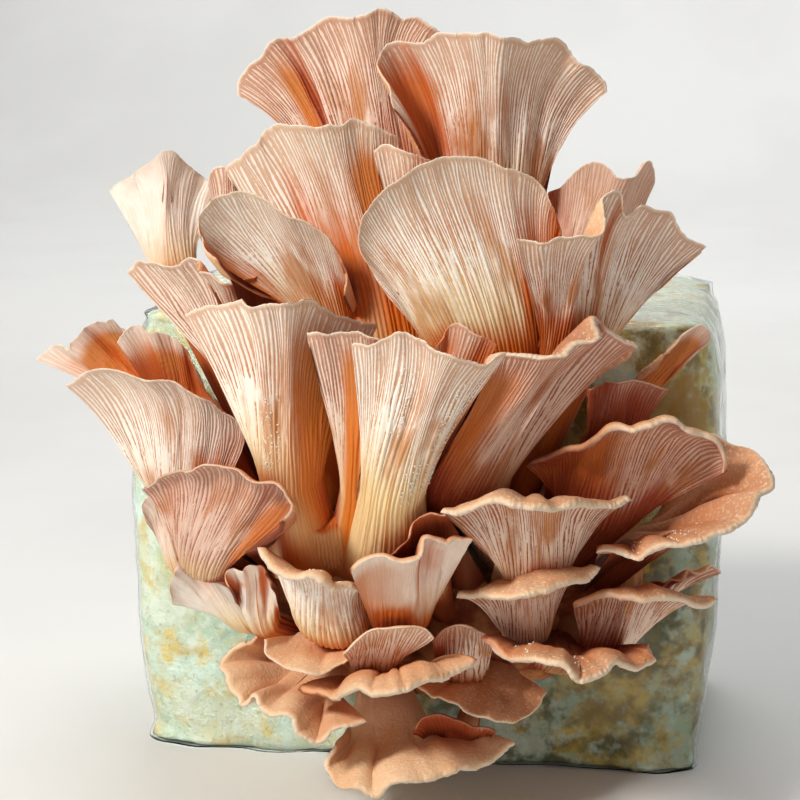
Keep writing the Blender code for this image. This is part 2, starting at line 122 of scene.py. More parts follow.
def edit(piece, *steps, select="SELECT"):
    """Runs edit-mode steps, each an operator and its settings, on a piece first selected whole or as told."""
    use_alone(piece)
    bpy.ops.object.mode_set(mode="EDIT")
    if select:
        bpy.ops.mesh.select_all(action=select)
    for operator, settings in steps:
        operator(**settings)
    bpy.ops.object.mode_set(mode="OBJECT")


def waves(places, size, seed, layers=3):
    """Smooth irregular waves through space, from about -1 to 1, the same each time for one seed."""
    chance = np.random.RandomState(seed)
    total = np.zeros(len(places))
    weight = 0.0
    for layer in range(layers):
        share = LAYER_WEIGHT ** layer
        for _ in range(WAVES_IN_LAYER):
            way = chance.normal(size=3)
            way /= np.linalg.norm(way)
            pace = 2 * math.pi / size * LAYER_FINENESS ** layer * chance.uniform(0.7, 1.3)
            bend = chance.uniform(0, 2 * math.pi, 2)
            swerve = np.sin(places @ chance.normal(size=3) * pace * 0.3 + bend[0])
            total += share * np.sin(places @ way * pace + swerve + bend[1])
        weight += share * math.sqrt(WAVES_IN_LAYER / 2) * 1.4
    return np.clip(total / weight, -1, 1)


def loaf(name, cuts, inset):
    """A cube cut fine and pulled to the sagging block's form, that far inside the bag's outer skin."""
    piece = add_piece(bpy.ops.mesh.primitive_cube_add, name, size=2, calc_uvs=False)
    edit(piece, (bpy.ops.mesh.subdivide, {"number_cuts": cuts}))
    x, y, z = points_of(piece).T
    away = np.maximum(np.hypot(x, y), 1e-9)
    c, s = x / away, y / away
    square = np.maximum(abs(x), abs(y))
    reach = (abs(c) ** CORNER_POWER + abs(s) ** CORNER_POWER) ** (-1 / CORNER_POWER) * square
    height = (z + 1) / 2
    level, wide, deep = BLOCK_PROFILE.T
    wide = np.interp(height, level, wide) * BLOCK_WIDTH / 2 - inset
    deep = np.interp(height, level, deep) * BLOCK_DEPTH / 2 - inset
    up = inset + height * (BLOCK_HEIGHT - 2 * inset)
    put_points(piece, np.column_stack((c * reach * wide, s * reach * deep, up)))
    edit(piece, (bpy.ops.mesh.normals_make_consistent, {"inside": False}))
    return piece


def sunken(places):
    """Where the block's skin has sunk in, from 0 to 1. The bag is drawn down into the same hollows."""
    return 0.5 + 0.5 * waves(places, LUMP_SIZE, 3)


def eared(places, reach):
    """The places with the bag's corners pulled out to small ears at the foot and at the top."""
    places = places.copy()
    away = np.maximum(np.hypot(places[:, 0] / BLOCK_WIDTH, places[:, 1] / BLOCK_DEPTH), 1e-6)
    cornerness = (2 * abs(places[:, 0] / BLOCK_WIDTH * places[:, 1] / BLOCK_DEPTH) / away ** 2) ** EAR_SHARPNESS
    outer_ring = np.clip((away - 0.45) / 0.12, 0, 1)
    for level in (0.0, EAR_TOP):
        near = np.exp(-((places[:, 2] - level) / EAR_HEIGHT) ** 2) * cornerness * outer_ring
        places[:, 0] += np.sign(places[:, 0]) * reach * near
        places[:, 1] += np.sign(places[:, 1]) * reach * 0.5 * near
    return places


block = loaf("mycelium_block", BLOCK_CUTS, BLOCK_INSET)
places = eared(points_of(block), EAR_REACH - BLOCK_INSET)
sink = LUMP_DEPTH * sunken(places) + CRUMB_DEPTH * (0.5 + 0.5 * waves(places, CRUMB_SIZE, 4))
places = places - read(block.data.vertex_normals, "vector") * sink[:, None]
places[:, 2] = np.maximum(places[:, 2], BLOCK_INSET)
put_points(block, places)
shade_smooth(block)


def paint(colour):
    """The paint for a colour given in the 0 to 255 steps of a screen."""
    steps = [step / 255 for step in colour]
    return (*(c / 12.92 if c <= 0.04045 else ((c + 0.055) / 1.055) ** 2.4 for c in steps), 1.0)


def plug(socket, value):
    """Puts a link, a screen colour or a number into a socket."""
    if isinstance(value, bpy.types.NodeSocket):
        socket.id_data.links.new(value, socket)
    elif isinstance(value, tuple) and socket.type == "RGBA":
        socket.default_value = paint(value)
    else:
        socket.default_value = value


def add_node(near, kind, inputs=None, **settings):
    """One shader node in the same tree as another node or socket, with its settings and what goes into it."""
    node = near.id_data.nodes.new(kind)
    for key, value in settings.items():
        setattr(node, key, value)
    for key, value in (inputs or {}).items():
        plug(node.inputs[key], value)
    return node


def new_material(name):
    """A node material: itself, its surface shader, and the place in the piece."""
    material = bpy.data.materials.new(name)
    material.use_nodes = True
    material.node_tree.nodes.clear()
    shader = add_node(material.node_tree, "ShaderNodeBsdfPrincipled")
    add_node(shader, "ShaderNodeOutputMaterial", {"Surface": shader.outputs["BSDF"]})
    return material, shader, add_node(shader, "ShaderNodeTexCoord").outputs["Object"]


def blended(share, a, b):
    """Colour a turning to colour b as the share goes from 0 to 1."""
    return add_node(share, "ShaderNodeMix", {0: share, 6: a, 7: b}, data_type="RGBA").outputs[2]


def layered(colour, *coats):
    """A colour with coats laid over it in turn, each a mask and its own colour."""
    for mask, coat in coats:
        colour = blended(mask, colour, coat)
    return colour


def rising(value, low, high, start=0.0, end=1.0):
    """A mask that goes smoothly from start to end while the value goes from low to high."""
    inputs = {"Value": value, "From Min": low, "From Max": high, "To Min": start, "To Max": end}
    return add_node(value, "ShaderNodeMapRange", inputs, interpolation_type="SMOOTHSTEP").outputs["Result"]


def mottle(where, scale, detail=3.0, roughness=0.55):
    """Cloudy patches through the piece, from 0 to 1."""
    inputs = {"Vector": where, "Scale": scale, "Detail": detail, "Roughness": roughness}
    return add_node(where, "ShaderNodeTexNoise", inputs).outputs["Fac"]


def combined(way, first, *others):
    """Values added, multiplied or the like, one after the other."""
    for other in others:
        first = add_node(first, "ShaderNodeMath", {0: first, 1: other}, operation=way).outputs[0]
    return first


def plus(*values):
    """Values added."""
    return combined("ADD", *values)


def times(*values):
    """Values multiplied."""
    return combined("MULTIPLY", *values)


def shared_group(name, takes, gives):
    """A node group with named inputs, for an effect that several finishes use: the group and its two ends."""
    group = bpy.data.node_groups.new(name, "ShaderNodeTree")
    for way, sockets in (("INPUT", takes), ("OUTPUT", gives)):
        for label, kind in sockets:
            group.interface.new_socket(name=label, in_out=way, socket_type="NodeSocket" + kind)
    return group, group.nodes.new("NodeGroupInput").outputs, group.nodes.new("NodeGroupOutput").inputs


# Fine relief: a grain of one size on top of the height that comes in
takes = (
    ("Place", "Vector"), ("Scale", "Float"), ("Height", "Float"), ("Strength", "Float"), ("Depth", "Float"),
)
fine_grain, given, found = shared_group("fine_grain", takes, (("Normal", "Vector"),))
height = plus(mottle(given["Place"], given["Scale"], 4.0, 0.6), given["Height"])
relief = {"Height": height, "Strength": given["Strength"], "Distance": given["Depth"]}
plug(found["Normal"], add_node(fine_grain, "ShaderNodeBump", relief).outputs["Normal"])

# Cloudy patches of two colours
takes = (("Place", "Vector"), ("Scale", "Float"), ("First", "Color"), ("Second", "Color"))
two_tones, given, found = shared_group("two_tones", takes, (("Colour", "Color"),))
patches = rising(mottle(given["Place"], given["Scale"], 4), 0.38, 0.62)
plug(found["Colour"], blended(patches, given["First"], given["Second"]))


def grained(shader, where, scale, height, strength, depth):
    """Gives a finish its fine relief."""
    takes = {"Place": where, "Scale": scale, "Height": height, "Strength": strength, "Depth": depth}
    node = add_node(shader, "ShaderNodeGroup", takes, node_tree=fine_grain)
    plug(shader.inputs["Normal"], node.outputs["Normal"])


def toned(where, scale, first, second):
    """Two colours in cloudy patches."""
    takes = {"Place": where, "Scale": scale, "First": first, "Second": second}
    return add_node(where, "ShaderNodeGroup", takes, node_tree=two_tones).outputs["Colour"]


def patchy_material(name, scale, first, second, roughness):
    """A material of two colours in cloudy patches."""
    material, shader, where = new_material(name)
    plug(shader.inputs["Base Color"], toned(where, scale, first, second))
    shader.inputs["Roughness"].default_value = roughness
    return material, shader, where


def mycelium():
    """White threads over sawdust: teal where thin, amber and darker where wet, with painted shade, light and
    sheen.
    """
    material, shader, where = new_material("mycelium_over_sawdust")
    x, y, z = add_node(where, "ShaderNodeSeparateXYZ", {"Vector": where}).outputs
    in_front = rising(y, -0.056, -0.020, 1.0, 0.35)
    high_up = rising(z, 0.080, 0.120)
    wetter = times(rising(x, 0.015, 0.08, 0.035, 0.13), rising(x, 0.095, 0.108, 1.0, 0.3), in_front)
    wet = rising(plus(mottle(where, 80, 5, 0.64), wetter), 0.50, 0.68)
    threads = rising(mottle(where, 150, 5, 0.7), 0.40, 0.64)
    # Painted shade: darker olive towards the right side and at the top, where the block lies in shadow
    shaded = plus(rising(x, 0.03, 0.10, 0.0, 0.30), rising(z, 0.130, 0.156, 0.0, 0.25))
    white = layered(
        (200, 200, 174),
        (rising(mottle(where, 24, 3), 0.40, 0.60), (164, 182, 160)),
        (threads, (204, 208, 194)),
        (shaded, (112, 122, 76)),
        # Painted light: paler at the front's upper right, lifting it where the fans cast their shadow
        (times(high_up, rising(x, 0.02, 0.07, 0.0, 0.85), in_front), (232, 234, 206)),
    )
    sawdust = toned(where, 120.0, (126, 98, 28), (192, 162, 80))
    sawdust = blended(rising(x, -0.05, 0.05, 0.7, 0.0), sawdust, (214, 190, 124))
    sodden = rising(plus(mottle(where, 46, 4, 0.62), wetter), 0.60, 0.70, 0.0, 0.85)
    sodden = times(sodden, rising(x, -0.06, 0.05, 0.10, 1.0), in_front)
    soaked = blended(high_up, (76, 68, 16), (164, 116, 14))
    # Pale bluish streaks: partly damp mycelium and partly a painted wet highlight; the same mask makes the coat
    # glossier
    damp = rising(mottle(where, 52, 4, 0.6), 0.55, 0.66, 0.0, 0.75)
    crumbs = rising(mottle(where, 520, 2), 0.60, 0.70, 0.0, 0.35)
    coats = (wet, sawdust), (sodden, soaked), (damp, (196, 214, 204)), (crumbs, (140, 104, 48))
    plug(shader.inputs["Base Color"], layered(white, *coats))
    plug(shader.inputs["Roughness"], rising(wet, 0.0, 1.0, 0.8, 0.4))
    grained(shader, where, 420.0, threads, 0.5, 0.0006)
    plug(shader.inputs["Coat Weight"], rising(plus(wet, damp), 0.0, 1.2, 0.1, 0.8))
    shader.inputs["Coat Roughness"].default_value = 0.22
    return material


def settle(piece, material, slot, *nodes):
    """The piece's finish, the CAD solids that it stands for, and the body that carries it."""
    if not piece.data.materials:
        piece.data.materials.append(material)
    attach(piece, "root")
    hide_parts(*nodes)


settle(block, mycelium(), "substrate", "substrate_block")

# The grow bag: one thin clear film drawn tight round the block, gathered to a small ear at each corner of its
# foot and top. It is creased where it was pulled, and cut open at the front, where the mushrooms broke out.
FILM = 0.0006
FILM_CUTS = 74
CREASE_DEPTH = 0.0005
CREASE_SIZE = 0.016
PUCKER_SIZE = 0.012
CREASE_STRETCH = 0.22
WINDOW_WIDTH = 0.150
WINDOW_HEIGHT = 0.092
WINDOW_CENTRE_X = 0.006
WINDOW_CENTRE_Z = 0.072
EDGE_BAND = 0.035

bag = loaf("clear_film_bag", FILM_CUTS, 0.0)
places = points_of(bag)
crease = np.maximum(waves(places * (1.0, 1.0, CREASE_STRETCH), CREASE_SIZE, 11, 4), 0) ** 1.5
crease = crease + 0.6 * np.maximum(waves(places, PUCKER_SIZE, 12, 3), 0) ** 2
sink = np.maximum(LUMP_DEPTH * sunken(places), CREASE_DEPTH * np.clip(crease, 0, 1))
places = eared(places - read(bag.data.vertex_normals, "vector") * sink[:, None], EAR_REACH)
places[:, 2] = np.clip(places[:, 2], 0, BLOCK_HEIGHT)
put_points(bag, places)


def window_share(places):
    """How far out from the middle of the window a point is: 1 on its edge."""
    across = (places[:, 0] - WINDOW_CENTRE_X) / (WINDOW_WIDTH / 2)
    up = (places[:, 2] - WINDOW_CENTRE_Z) / (WINDOW_HEIGHT / 2)
    return np.maximum(np.hypot(across, up), 1e-6), across, up


share, across, up = window_share(places)
on_edge = (places[:, 1] < FRONT_Y / 2) & (abs(share - 1) < EDGE_BAND)
places[on_edge, 0] = WINDOW_CENTRE_X + (across / share)[on_edge] * WINDOW_WIDTH / 2
places[on_edge, 2] = WINDOW_CENTRE_Z + (up / share)[on_edge] * WINDOW_HEIGHT / 2
put_points(bag, places)
edit(bag, (bpy.ops.mesh.select_mode, {"type": "FACE"}), select="DESELECT")
middles = read(bag.data.polygons, "center")
open_front = (window_share(middles)[0] < 1) & (middles[:, 1] < FRONT_Y / 2)
bag.data.polygons.foreach_set("select", open_front)
edit(bag, (bpy.ops.mesh.delete, {"type": "FACE"}), (bpy.ops.mesh.select_mode, {"type": "VERT"}), select=None)


def clear_film():
    """Thin clear film with fine ripples and beads of damp. Light from the lamps passes through it."""
    material, shader, where = new_material("clear_film")
    upright = {"Vector": where, "Scale": (1.0, 1.0, 0.25)}
    upright = add_node(where, "ShaderNodeMapping", upright).outputs["Vector"]
    shader.inputs["Base Color"].default_value = (0.95, 0.98, 0.97, 1.0)
    shader.inputs["Transmission Weight"].default_value = 1.0
    shader.inputs["IOR"].default_value = 1.1
    shader.inputs["Roughness"].default_value = 0.0
    beads = rising(mottle(where, 700, 1), 0.62, 0.72, 0.0, 0.3)
    grained(shader, upright, 70.0, beads, 0.14, 0.0005)
    passing = add_node(shader, "ShaderNodeBsdfTransparent")
    passing.inputs["Color"].default_value = (0.93, 0.96, 0.95, 1.0)
    in_shadow = add_node(shader, "ShaderNodeLightPath").outputs["Is Shadow Ray"]
    surface = {0: in_shadow, 1: shader.outputs["BSDF"], 2: passing.outputs["BSDF"]}
    output = next(node for node in material.node_tree.nodes if node.type == "OUTPUT_MATERIAL")
    plug(output.inputs["Surface"], add_node(shader, "ShaderNodeMixShader", surface).outputs["Shader"])
    return material


# The milky edge where the film was cut open
edge_finish, shader, _ = patchy_material("film_cut_edge", 200.0, (188, 192, 178), (214, 214, 200), 0.5)
shader.inputs["Transmission Weight"].default_value = 0.5
bag.data.materials.append(clear_film())
bag.data.materials.append(edge_finish)
wall = bag.modifiers.new("film", "SOLIDIFY")
wall.thickness = FILM / 2
wall.offset = -1
wall.material_offset_rim = 1
use_alone(bag)
bpy.ops.object.modifier_apply(modifier=wall.name)
shade_smooth(bag)
settle(bag, bag.data.materials[0], "clear_film", "grow_bag")

# The fused base: the pad of cream tissue in the film's opening that every stem grows out of. It swells forward
# from the block, knobbly with the buds that never opened, and its skin has a fine grain.
BASE_REACH = 0.026
# Shares of the way forward, and the share of the window's size there
BASE_RINGS = np.array(((0.0, 0.96), (0.10, 0.98), (0.45, 0.97), (0.75, 0.80), (0.93, 0.52), (1.0, 0.22)))
BASE_CLEARANCE = 0.0012
BASE_KNOBS = 0.0012
BASE_KNOB_SIZE = 0.5
SPHERE_END = 0.0001

base = add_piece(
    bpy.ops.mesh.primitive_uv_sphere_add, "fused_base", segments=96, ring_count=48, radius=1, calc_uvs=False
)
ball = points_of(base)
forward = (ball[:, 2] + 1) / 2
around = np.arctan2(ball[:, 1], ball[:, 0])
at_ends = (forward < SPHERE_END) | (forward > 1 - SPHERE_END)
share = np.interp(forward, *BASE_RINGS.T) * np.where(at_ends, 0, 1)
knobs = BASE_KNOBS * (waves(ball, BASE_KNOB_SIZE, 21) - 1)
out = np.maximum(share * (WINDOW_WIDTH / 2 - BASE_CLEARANCE) + knobs, 0) * (share > 0)
rise = np.maximum(share * (WINDOW_HEIGHT / 2 - BASE_CLEARANCE) + knobs, 0) * (share > 0)
put_points(base, np.column_stack((
    WINDOW_CENTRE_X + out * np.cos(around),
    FRONT_Y + FILM - forward * (BASE_REACH + 0.5 * knobs),
    WINDOW_CENTRE_Z + rise * np.sin(around),
)))
edit(base, (bpy.ops.mesh.normals_make_consistent, {"inside": False}))
shade_smooth(base)
# Tissue in cloudy patches of orange-brown and tan: its cream is painted darker all over, as painted shade under
# the fans
tissue, shader, where = patchy_material("fused_tissue", 90.0, (150, 66, 26), (214, 142, 84), 0.7)
grained(shader, where, 380.0, 0.0, 0.5, 0.0008)
settle(base, tissue, "base_tissue", "cluster_base")

# The oyster mushrooms. Every one is a soft piece of its own: a stem that opens to a fan, gills all over one
# side, velvet on the other, and a thin wavy edge. Each grows out of the fused base.
VIEW_AZIMUTH = math.radians(9)
VIEW_ELEVATION = math.radians(12)
VIEW_DISTANCE = 0.75
VIEW_AIM = np.array((-0.004, FRONT_Y, 0.1275))
PIXEL = 0.000330
PHOTO_MIDDLE = 400
MM = 0.001
BOX_LOW, BOX_HIGH = (np.array(corner) + away * MM / 50 for corner, away in zip(cad_box, (1, -1)))
STEM_ROUNDNESS = 0.85
HANDLE_AT_NECK = 0.36
ROOT_SCALE = 0.80
FAN_STARTS = 0.38
NECK_THICKNESS = 0.9
STEM_ROWS = 6
FAN_ROWS = 20
EDGE_ROWS = (0.975, 0.992, 1.0)
LIP_STARTS = 0.97
LIP_LENGTH = 0.03
# Photo pixels between two gills at the edge, columns of points from one gill to the next, and the gills' height
# there near the edge, and near the stem, where every second one has run out
GILL_PIXELS = 3.6
GILL_COLUMNS = 4
GILL_HEIGHT = 0.0008
DENSE_GILLS = np.array((1.0, 0.5, 0.0, 0.5))
SPARSE_GILLS = np.array((1.0, 0.92, 0.62, 0.25, 0.0, 0.25, 0.62, 0.92))
GILL_SWAY = 0.42
GILL_STEEPNESS = 0.42
GILL_STRENGTHS = (0.55, 1.0)
NEW_GILLS = (0.18, 0.50)
SWAYS = 9
BROAD_FOLD = 0.0010
NOTCH_DEPTH = 0.28
MERGE_DISTANCE = 0.000002


def level_view():
    """The viewer's directions: away from the object, to the right and up."""
    level = math.cos(VIEW_ELEVATION)
    away = np.array((math.sin(VIEW_AZIMUTH) * level, -math.cos(VIEW_AZIMUTH) * level, math.sin(VIEW_ELEVATION)))
    right = np.array((math.cos(VIEW_AZIMUTH), math.sin(VIEW_AZIMUTH), 0))
    return away, right, np.cross(away, right)


def photo_points(px, py, ahead):
    """The points seen at photo pixels, each that many millimetres in front of the block's face."""
    away, right, up = level_view()
    px, py, ahead = (np.atleast_1d(np.asarray(v, float))[:, None] for v in (px, py, ahead))
    rays = -away * VIEW_DISTANCE + right * (px - PHOTO_MIDDLE) * PIXEL + up * (PHOTO_MIDDLE - py) * PIXEL
    eye = VIEW_AIM + away * VIEW_DISTANCE
    return eye + rays * ((FRONT_Y - ahead * MM - eye[1]) / rays[:, 1:2])


def unit(ways):
    """Directions made one long."""
    return ways / np.maximum(np.linalg.norm(ways, axis=-1, keepdims=True), 1e-12)


def smooth(values):
    """0 below 0, 1 above 1, and an easy rise between."""
    values = np.clip(values, 0, 1)
    return values * values * (3 - 2 * values)


def through(shares, values, at):
    """A smooth curve through values that stand at uneven shares, read at other shares."""
    gaps = np.diff(shares)[:, None]
    steps = np.diff(values, axis=0) / gaps
    slopes = np.empty_like(values)
    slopes[1:-1] = (gaps[1:] * steps[:-1] + gaps[:-1] * steps[1:]) / (gaps[1:] + gaps[:-1])
    slopes[0], slopes[-1] = steps[0], steps[-1]
    i = np.clip(np.searchsorted(shares, at, side="right") - 1, 0, len(shares) - 2)
    gap = gaps[i]
    t = (at - shares[i])[:, None] / gap
    return (
        values[i] * (1 + 2 * t) * (1 - t) ** 2
        + values[i + 1] * t * t * (3 - 2 * t)
        + slopes[i] * gap * t * (1 - t) ** 2
        - slopes[i + 1] * gap * t * t * (1 - t)
    )


def spread_along(values, share):
    """A value part of the way along a short list of evenly spaced ones, rounded like a curve."""
    padded = np.array((values[0], *values, values[-1]), float)
    place = share * (len(values) - 1)
    i = np.minimum(place.astype(int), len(values) - 2)
    t = place - i
    before, a, b, after = (padded[i + k] for k in range(4))
    return (
        a * (1 + 2 * t) * (1 - t) ** 2 + b * t * t * (3 - 2 * t)
        + (b - before) / 2 * t * (1 - t) ** 2 - (after - a) / 2 * t * t * (1 - t)
    )


def wander(share, length, seed, shortest, longest, layers=6):
    """An uneven line from about -1 to 1 along a rim of that length, with waves between two lengths."""
    chance = np.random.RandomState(seed)
    total = np.zeros_like(share)
    for _ in range(layers):
        wave = chance.uniform(shortest, longest)
        total += np.sin(2 * math.pi * (share * length / wave + chance.uniform()))
    return total / math.sqrt(layers)


def fan_lines(rim, ahead, neck, root, stem, flare, wide, bowl, spread, foot, level, splay):
    """The lines that a mushroom is drawn on, one for each given rim point: root, neck, two handles and tip."""
    rim = np.array(rim, float)
    steps = np.hypot(*np.diff(rim, axis=0).T)
    shares = np.concatenate(([0], np.cumsum(steps))) / steps.sum()
    tips = photo_points(*rim.T, spread_along(ahead, shares))
    neck_middle, root_middle = photo_points(*neck)[0], photo_points(*root)[0]
    rise = unit(neck_middle - root_middle)
    across = tips[-1] - tips[0]
    across = unit(across - rise * across.dot(rise))
    outward = unit(np.cross(across, rise))
    radius = stem * MM
    turn = math.pi / 2 * (2 * shares - 1)
    sideways, forward = np.outer(np.sin(turn), across) * radius, np.outer(np.cos(turn), outward) * radius
    neck_ring = neck_middle + sideways * wide + forward
    root_ring = root_middle + (sideways * foot + forward) * ROOT_SCALE
    chords = tips - neck_ring
    order = np.arange(len(tips))
    along = tips[np.minimum(order + 1, len(tips) - 1)] - tips[np.maximum(order - 1, 0)]
    straight = unit(chords)
    inner = smooth(np.minimum(shares, 1 - shares) / 0.18)[:, None]
    flaring = unit(np.cross(along, chords)) * flare * (0.2 + 0.8 * inner)
    tip_ways = unit(straight * (1 - bowl) + rise * bowl + flaring + np.outer(np.sin(turn) ** 3, across) * splay)
    reach = np.linalg.norm(chords, axis=1)[:, None]
    leaving = neck_ring + unit(rise * (1 - spread) + straight * spread) * reach * HANDLE_AT_NECK
    arriving = tips - tip_ways * reach * level
    lines = np.hstack((root_ring, neck_ring, leaving, arriving, tips))
    length = np.linalg.norm(np.diff(tips, axis=0), axis=1).sum()
    return shares, lines, outward, radius, length, steps.sum()


def sheet_ways(sheet):
    """The way that a sheet of points faces at each of them: rows go up it, columns go across it."""
    return unit(np.cross(np.gradient(sheet, axis=1), np.gradient(sheet, axis=0)))


def put_mark(piece, name, values):
    """Gives each point of a piece a number of that name."""
    filled = np.broadcast_to(np.ravel(values), len(piece.data.vertices)).astype(np.float32)
    piece.data.attributes.new(name, "FLOAT", "POINT").data.foreach_set("value", filled)


fans = {}


def grow(
    place, rim, ahead, neck, root, stem=8, flare=0.5, wide=1.3, bowl=0.2, spread=0.65, foot=1.0, level=0.35,
    folds=(), ruffle=0.7, marked=1.0, tone=0.3, shade_gold=(0.5, 0.0), edge=0.75, splay=0.0, shade_share=1.0, cream=0.0,
):
    """One mushroom: a stem of stem mm radius from the root to the neck, opening to a fan with the given rim.

    Places are photo pixels and mm ahead of the block's face. Wide and foot are how many times as broad as
    deep the neck and the foot are. Flare turns the rim to the gill side, bowl turns it up, and splay out to its
    ends. Spread is how soon the fan leaves the stem's line, and level how far it runs straight to the rim.
    Folds are (share of the rim, width in shares, height in mm), ruffle is the rim's waves in mm, and edge its
    thickness in mm. Marked is how clear the gills are, tone how rosy the flesh is and, above 1, how much it is
    darkened as painted shade, shade_gold the orange lane of painted shade (share of the rim, width), cream how
    pale the bowl is, and shade_share how strongly painted shade and painted glow show in its folds.
    """
    name = "oyster_" + place
    seed = sum(ord(letter) * (k + 3) for k, letter in enumerate(name))
    chance = np.random.RandomState(seed)
    shares, lines, outward, radius, length, pixels = fan_lines(
        rim, ahead, neck, root, stem, flare, wide, bowl, spread, foot, level, splay
    )
    gills = 4 * max(3, round(pixels / GILL_PIXELS / 4))
    columns = gills * GILL_COLUMNS + 1
    even = np.linspace(0, 1, columns)
    t = np.concatenate((np.zeros(STEM_ROWS), np.linspace(0, 0.95, FAN_ROWS - len(EDGE_ROWS))[1:], EDGE_ROWS))
    v = np.concatenate((np.linspace(0, 1, STEM_ROWS), np.ones(len(t) - STEM_ROWS)))
    height = len(t)
    last = height - 1

    def uneven(number, shortest, longest, layers=6):
        """One of the mushroom's uneven lines along its rim, with waves between two lengths in mm."""
        return wander(even, length / MM, seed + number, shortest, longest, layers)

    sways = np.stack([wander(even, gills, seed + 20 + k, 2.2, 9) for k in range(SWAYS)])
    mix = np.maximum(0, 1 - abs((np.linspace(0, 1, height) * (SWAYS - 1))[:, None] - np.arange(SWAYS)))
    inside = np.minimum(even, 1 - even) * gills
    drift = (mix @ (GILL_SWAY / gills * sways)) * np.clip(inside / 3, 0, 1)
    bulge = np.zeros((height, columns))
    for middle, width, high in folds:
        bulge += high * MM * np.exp(-((even - middle) / width) ** 2) * smooth(t * 1.6)[:, None]
    bulge += ruffle * MM * (uneven(4, 16, 40) + uneven(5, 7, 14) * 0.25) * (t ** 3)[:, None]
    broad = (smooth(t * 1.4) * (1 - 0.5 * t))[:, None]
    bulge += BROAD_FOLD * uneven(9, 14, 34, 4) * broad * np.minimum(1, inside / 6)
    ruff = uneven(6, 6, 14) + 0.35 * uneven(7, 1.6, 3.5)
    notch = NOTCH_DEPTH * MM * ruff * smooth((t - 0.8) / 0.2)[:, None]

    def surface(at):
        """The gill side's middle surface, read at those shares of the rim, row by row."""
        drawn = through(shares, lines, at.ravel()).reshape(height, columns, 5, 3)
        tt, vv = t[:, None, None], v[:, None, None]
        fan = (
            drawn[:, :, 1] * (1 - tt) ** 3 + drawn[:, :, 2] * 3 * tt * (1 - tt) ** 2
            + drawn[:, :, 3] * 3 * tt * tt * (1 - tt) + drawn[:, :, 4] * tt ** 3
        )
        return np.where(vv < 1, drawn[:, :, 0] * (1 - vv) + drawn[:, :, 1] * vv, fan)

    sheet = surface(np.tile(even, (height, 1)))
    lift = sheet_ways(sheet) * bulge[:, :, None]
    sheet = sheet + lift
    facing = sheet_ways(sheet)
    notches = unit(np.gradient(sheet, axis=0)) * notch[:, :, None]
    lift, sheet = lift + notches, sheet + notches
    gilled = surface(np.clip(even + drift, 0, 1)) + lift

    column = np.arange(columns)
    pair = np.round(column / (2 * GILL_COLUMNS)).astype(int)
    grown = smooth((t[:, None] - chance.uniform(*NEW_GILLS, pair[-1] + 1)[pair]) / 0.16)
    sparse, dense = SPARSE_GILLS[column % (2 * GILL_COLUMNS)], DENSE_GILLS[column % GILL_COLUMNS]
    strength = chance.uniform(*GILL_STRENGTHS, gills + 1)[np.round(column / GILL_COLUMNS).astype(int)]
    ridge = (sparse * (1 - grown) + dense * grown) * strength
    spacing = np.linalg.norm(np.gradient(sheet, axis=1), axis=2) * GILL_COLUMNS
    fade = (1 - smooth((t - 0.955) / 0.045)) * np.where(t > 0, 1, 0.25 + 0.75 * v ** 2)
    fade *= np.where(v < 1, smooth(v * 1.5), 1)
    lower = (fade * (1 - 0.4 * smooth((t - 0.45) / 0.5)))[:, None]
    deep = np.minimum(GILL_HEIGHT, GILL_STEEPNESS * spacing * (2 - grown)) * lower
    gill_side = gilled + facing * (deep * ridge * (0.35 + 0.65 * marked))[:, :, None]

    middling = np.cos(math.pi / 2 * (2 * even - 1))[None, :]
    share_fan = smooth(t / FAN_STARTS)[:, None]
    thick = edge * MM + (radius * NECK_THICKNESS - edge * MM) * (1 - t[:, None]) ** 2 * middling
    past_lip = np.clip(1 - ((t - LIP_STARTS) / LIP_LENGTH) ** 2, 0, 1)
    lip = np.where(t > LIP_STARTS, np.sqrt(past_lip), 1)[:, None]
    side_distance = np.clip(np.minimum(even, 1 - even) * length / (0.6 * edge * MM), 0, 1)
    side = np.sqrt(np.clip(1 - (1 - side_distance) ** 2, 0, 1))[None, :]
    cap_lumps = 1 + 0.12 * uneven(8, 6, 20)[None, :] * share_fan
    back = -(outward * (2 * radius * STEM_ROUNDNESS * middling * (1 - share_fan))[:, :, None])
    back = back - facing * (thick * share_fan * side * cap_lumps)[:, :, None]
    cap_side = sheet + back * lip[:, :, None]

    few_rows, few_columns = np.r_[0:last:3, last], np.r_[0:columns - 1:8, columns - 1]
    few = np.ix_(few_rows, few_columns)
    cap_rows = np.r_[0:last - 2:3, last - 2, last - 1][::-1]
    rows = np.concatenate((np.arange(height), cap_rows))
    piece = add_piece(
        bpy.ops.mesh.primitive_grid_add, name,
        x_subdivisions=columns - 1, y_subdivisions=len(rows) - 1, size=1, calc_uvs=False,
    )
    places = np.concatenate((gill_side, cap_side[cap_rows])).reshape(-1, 3)
    put_points(piece, np.clip(places, BOX_LOW, BOX_HIGH))
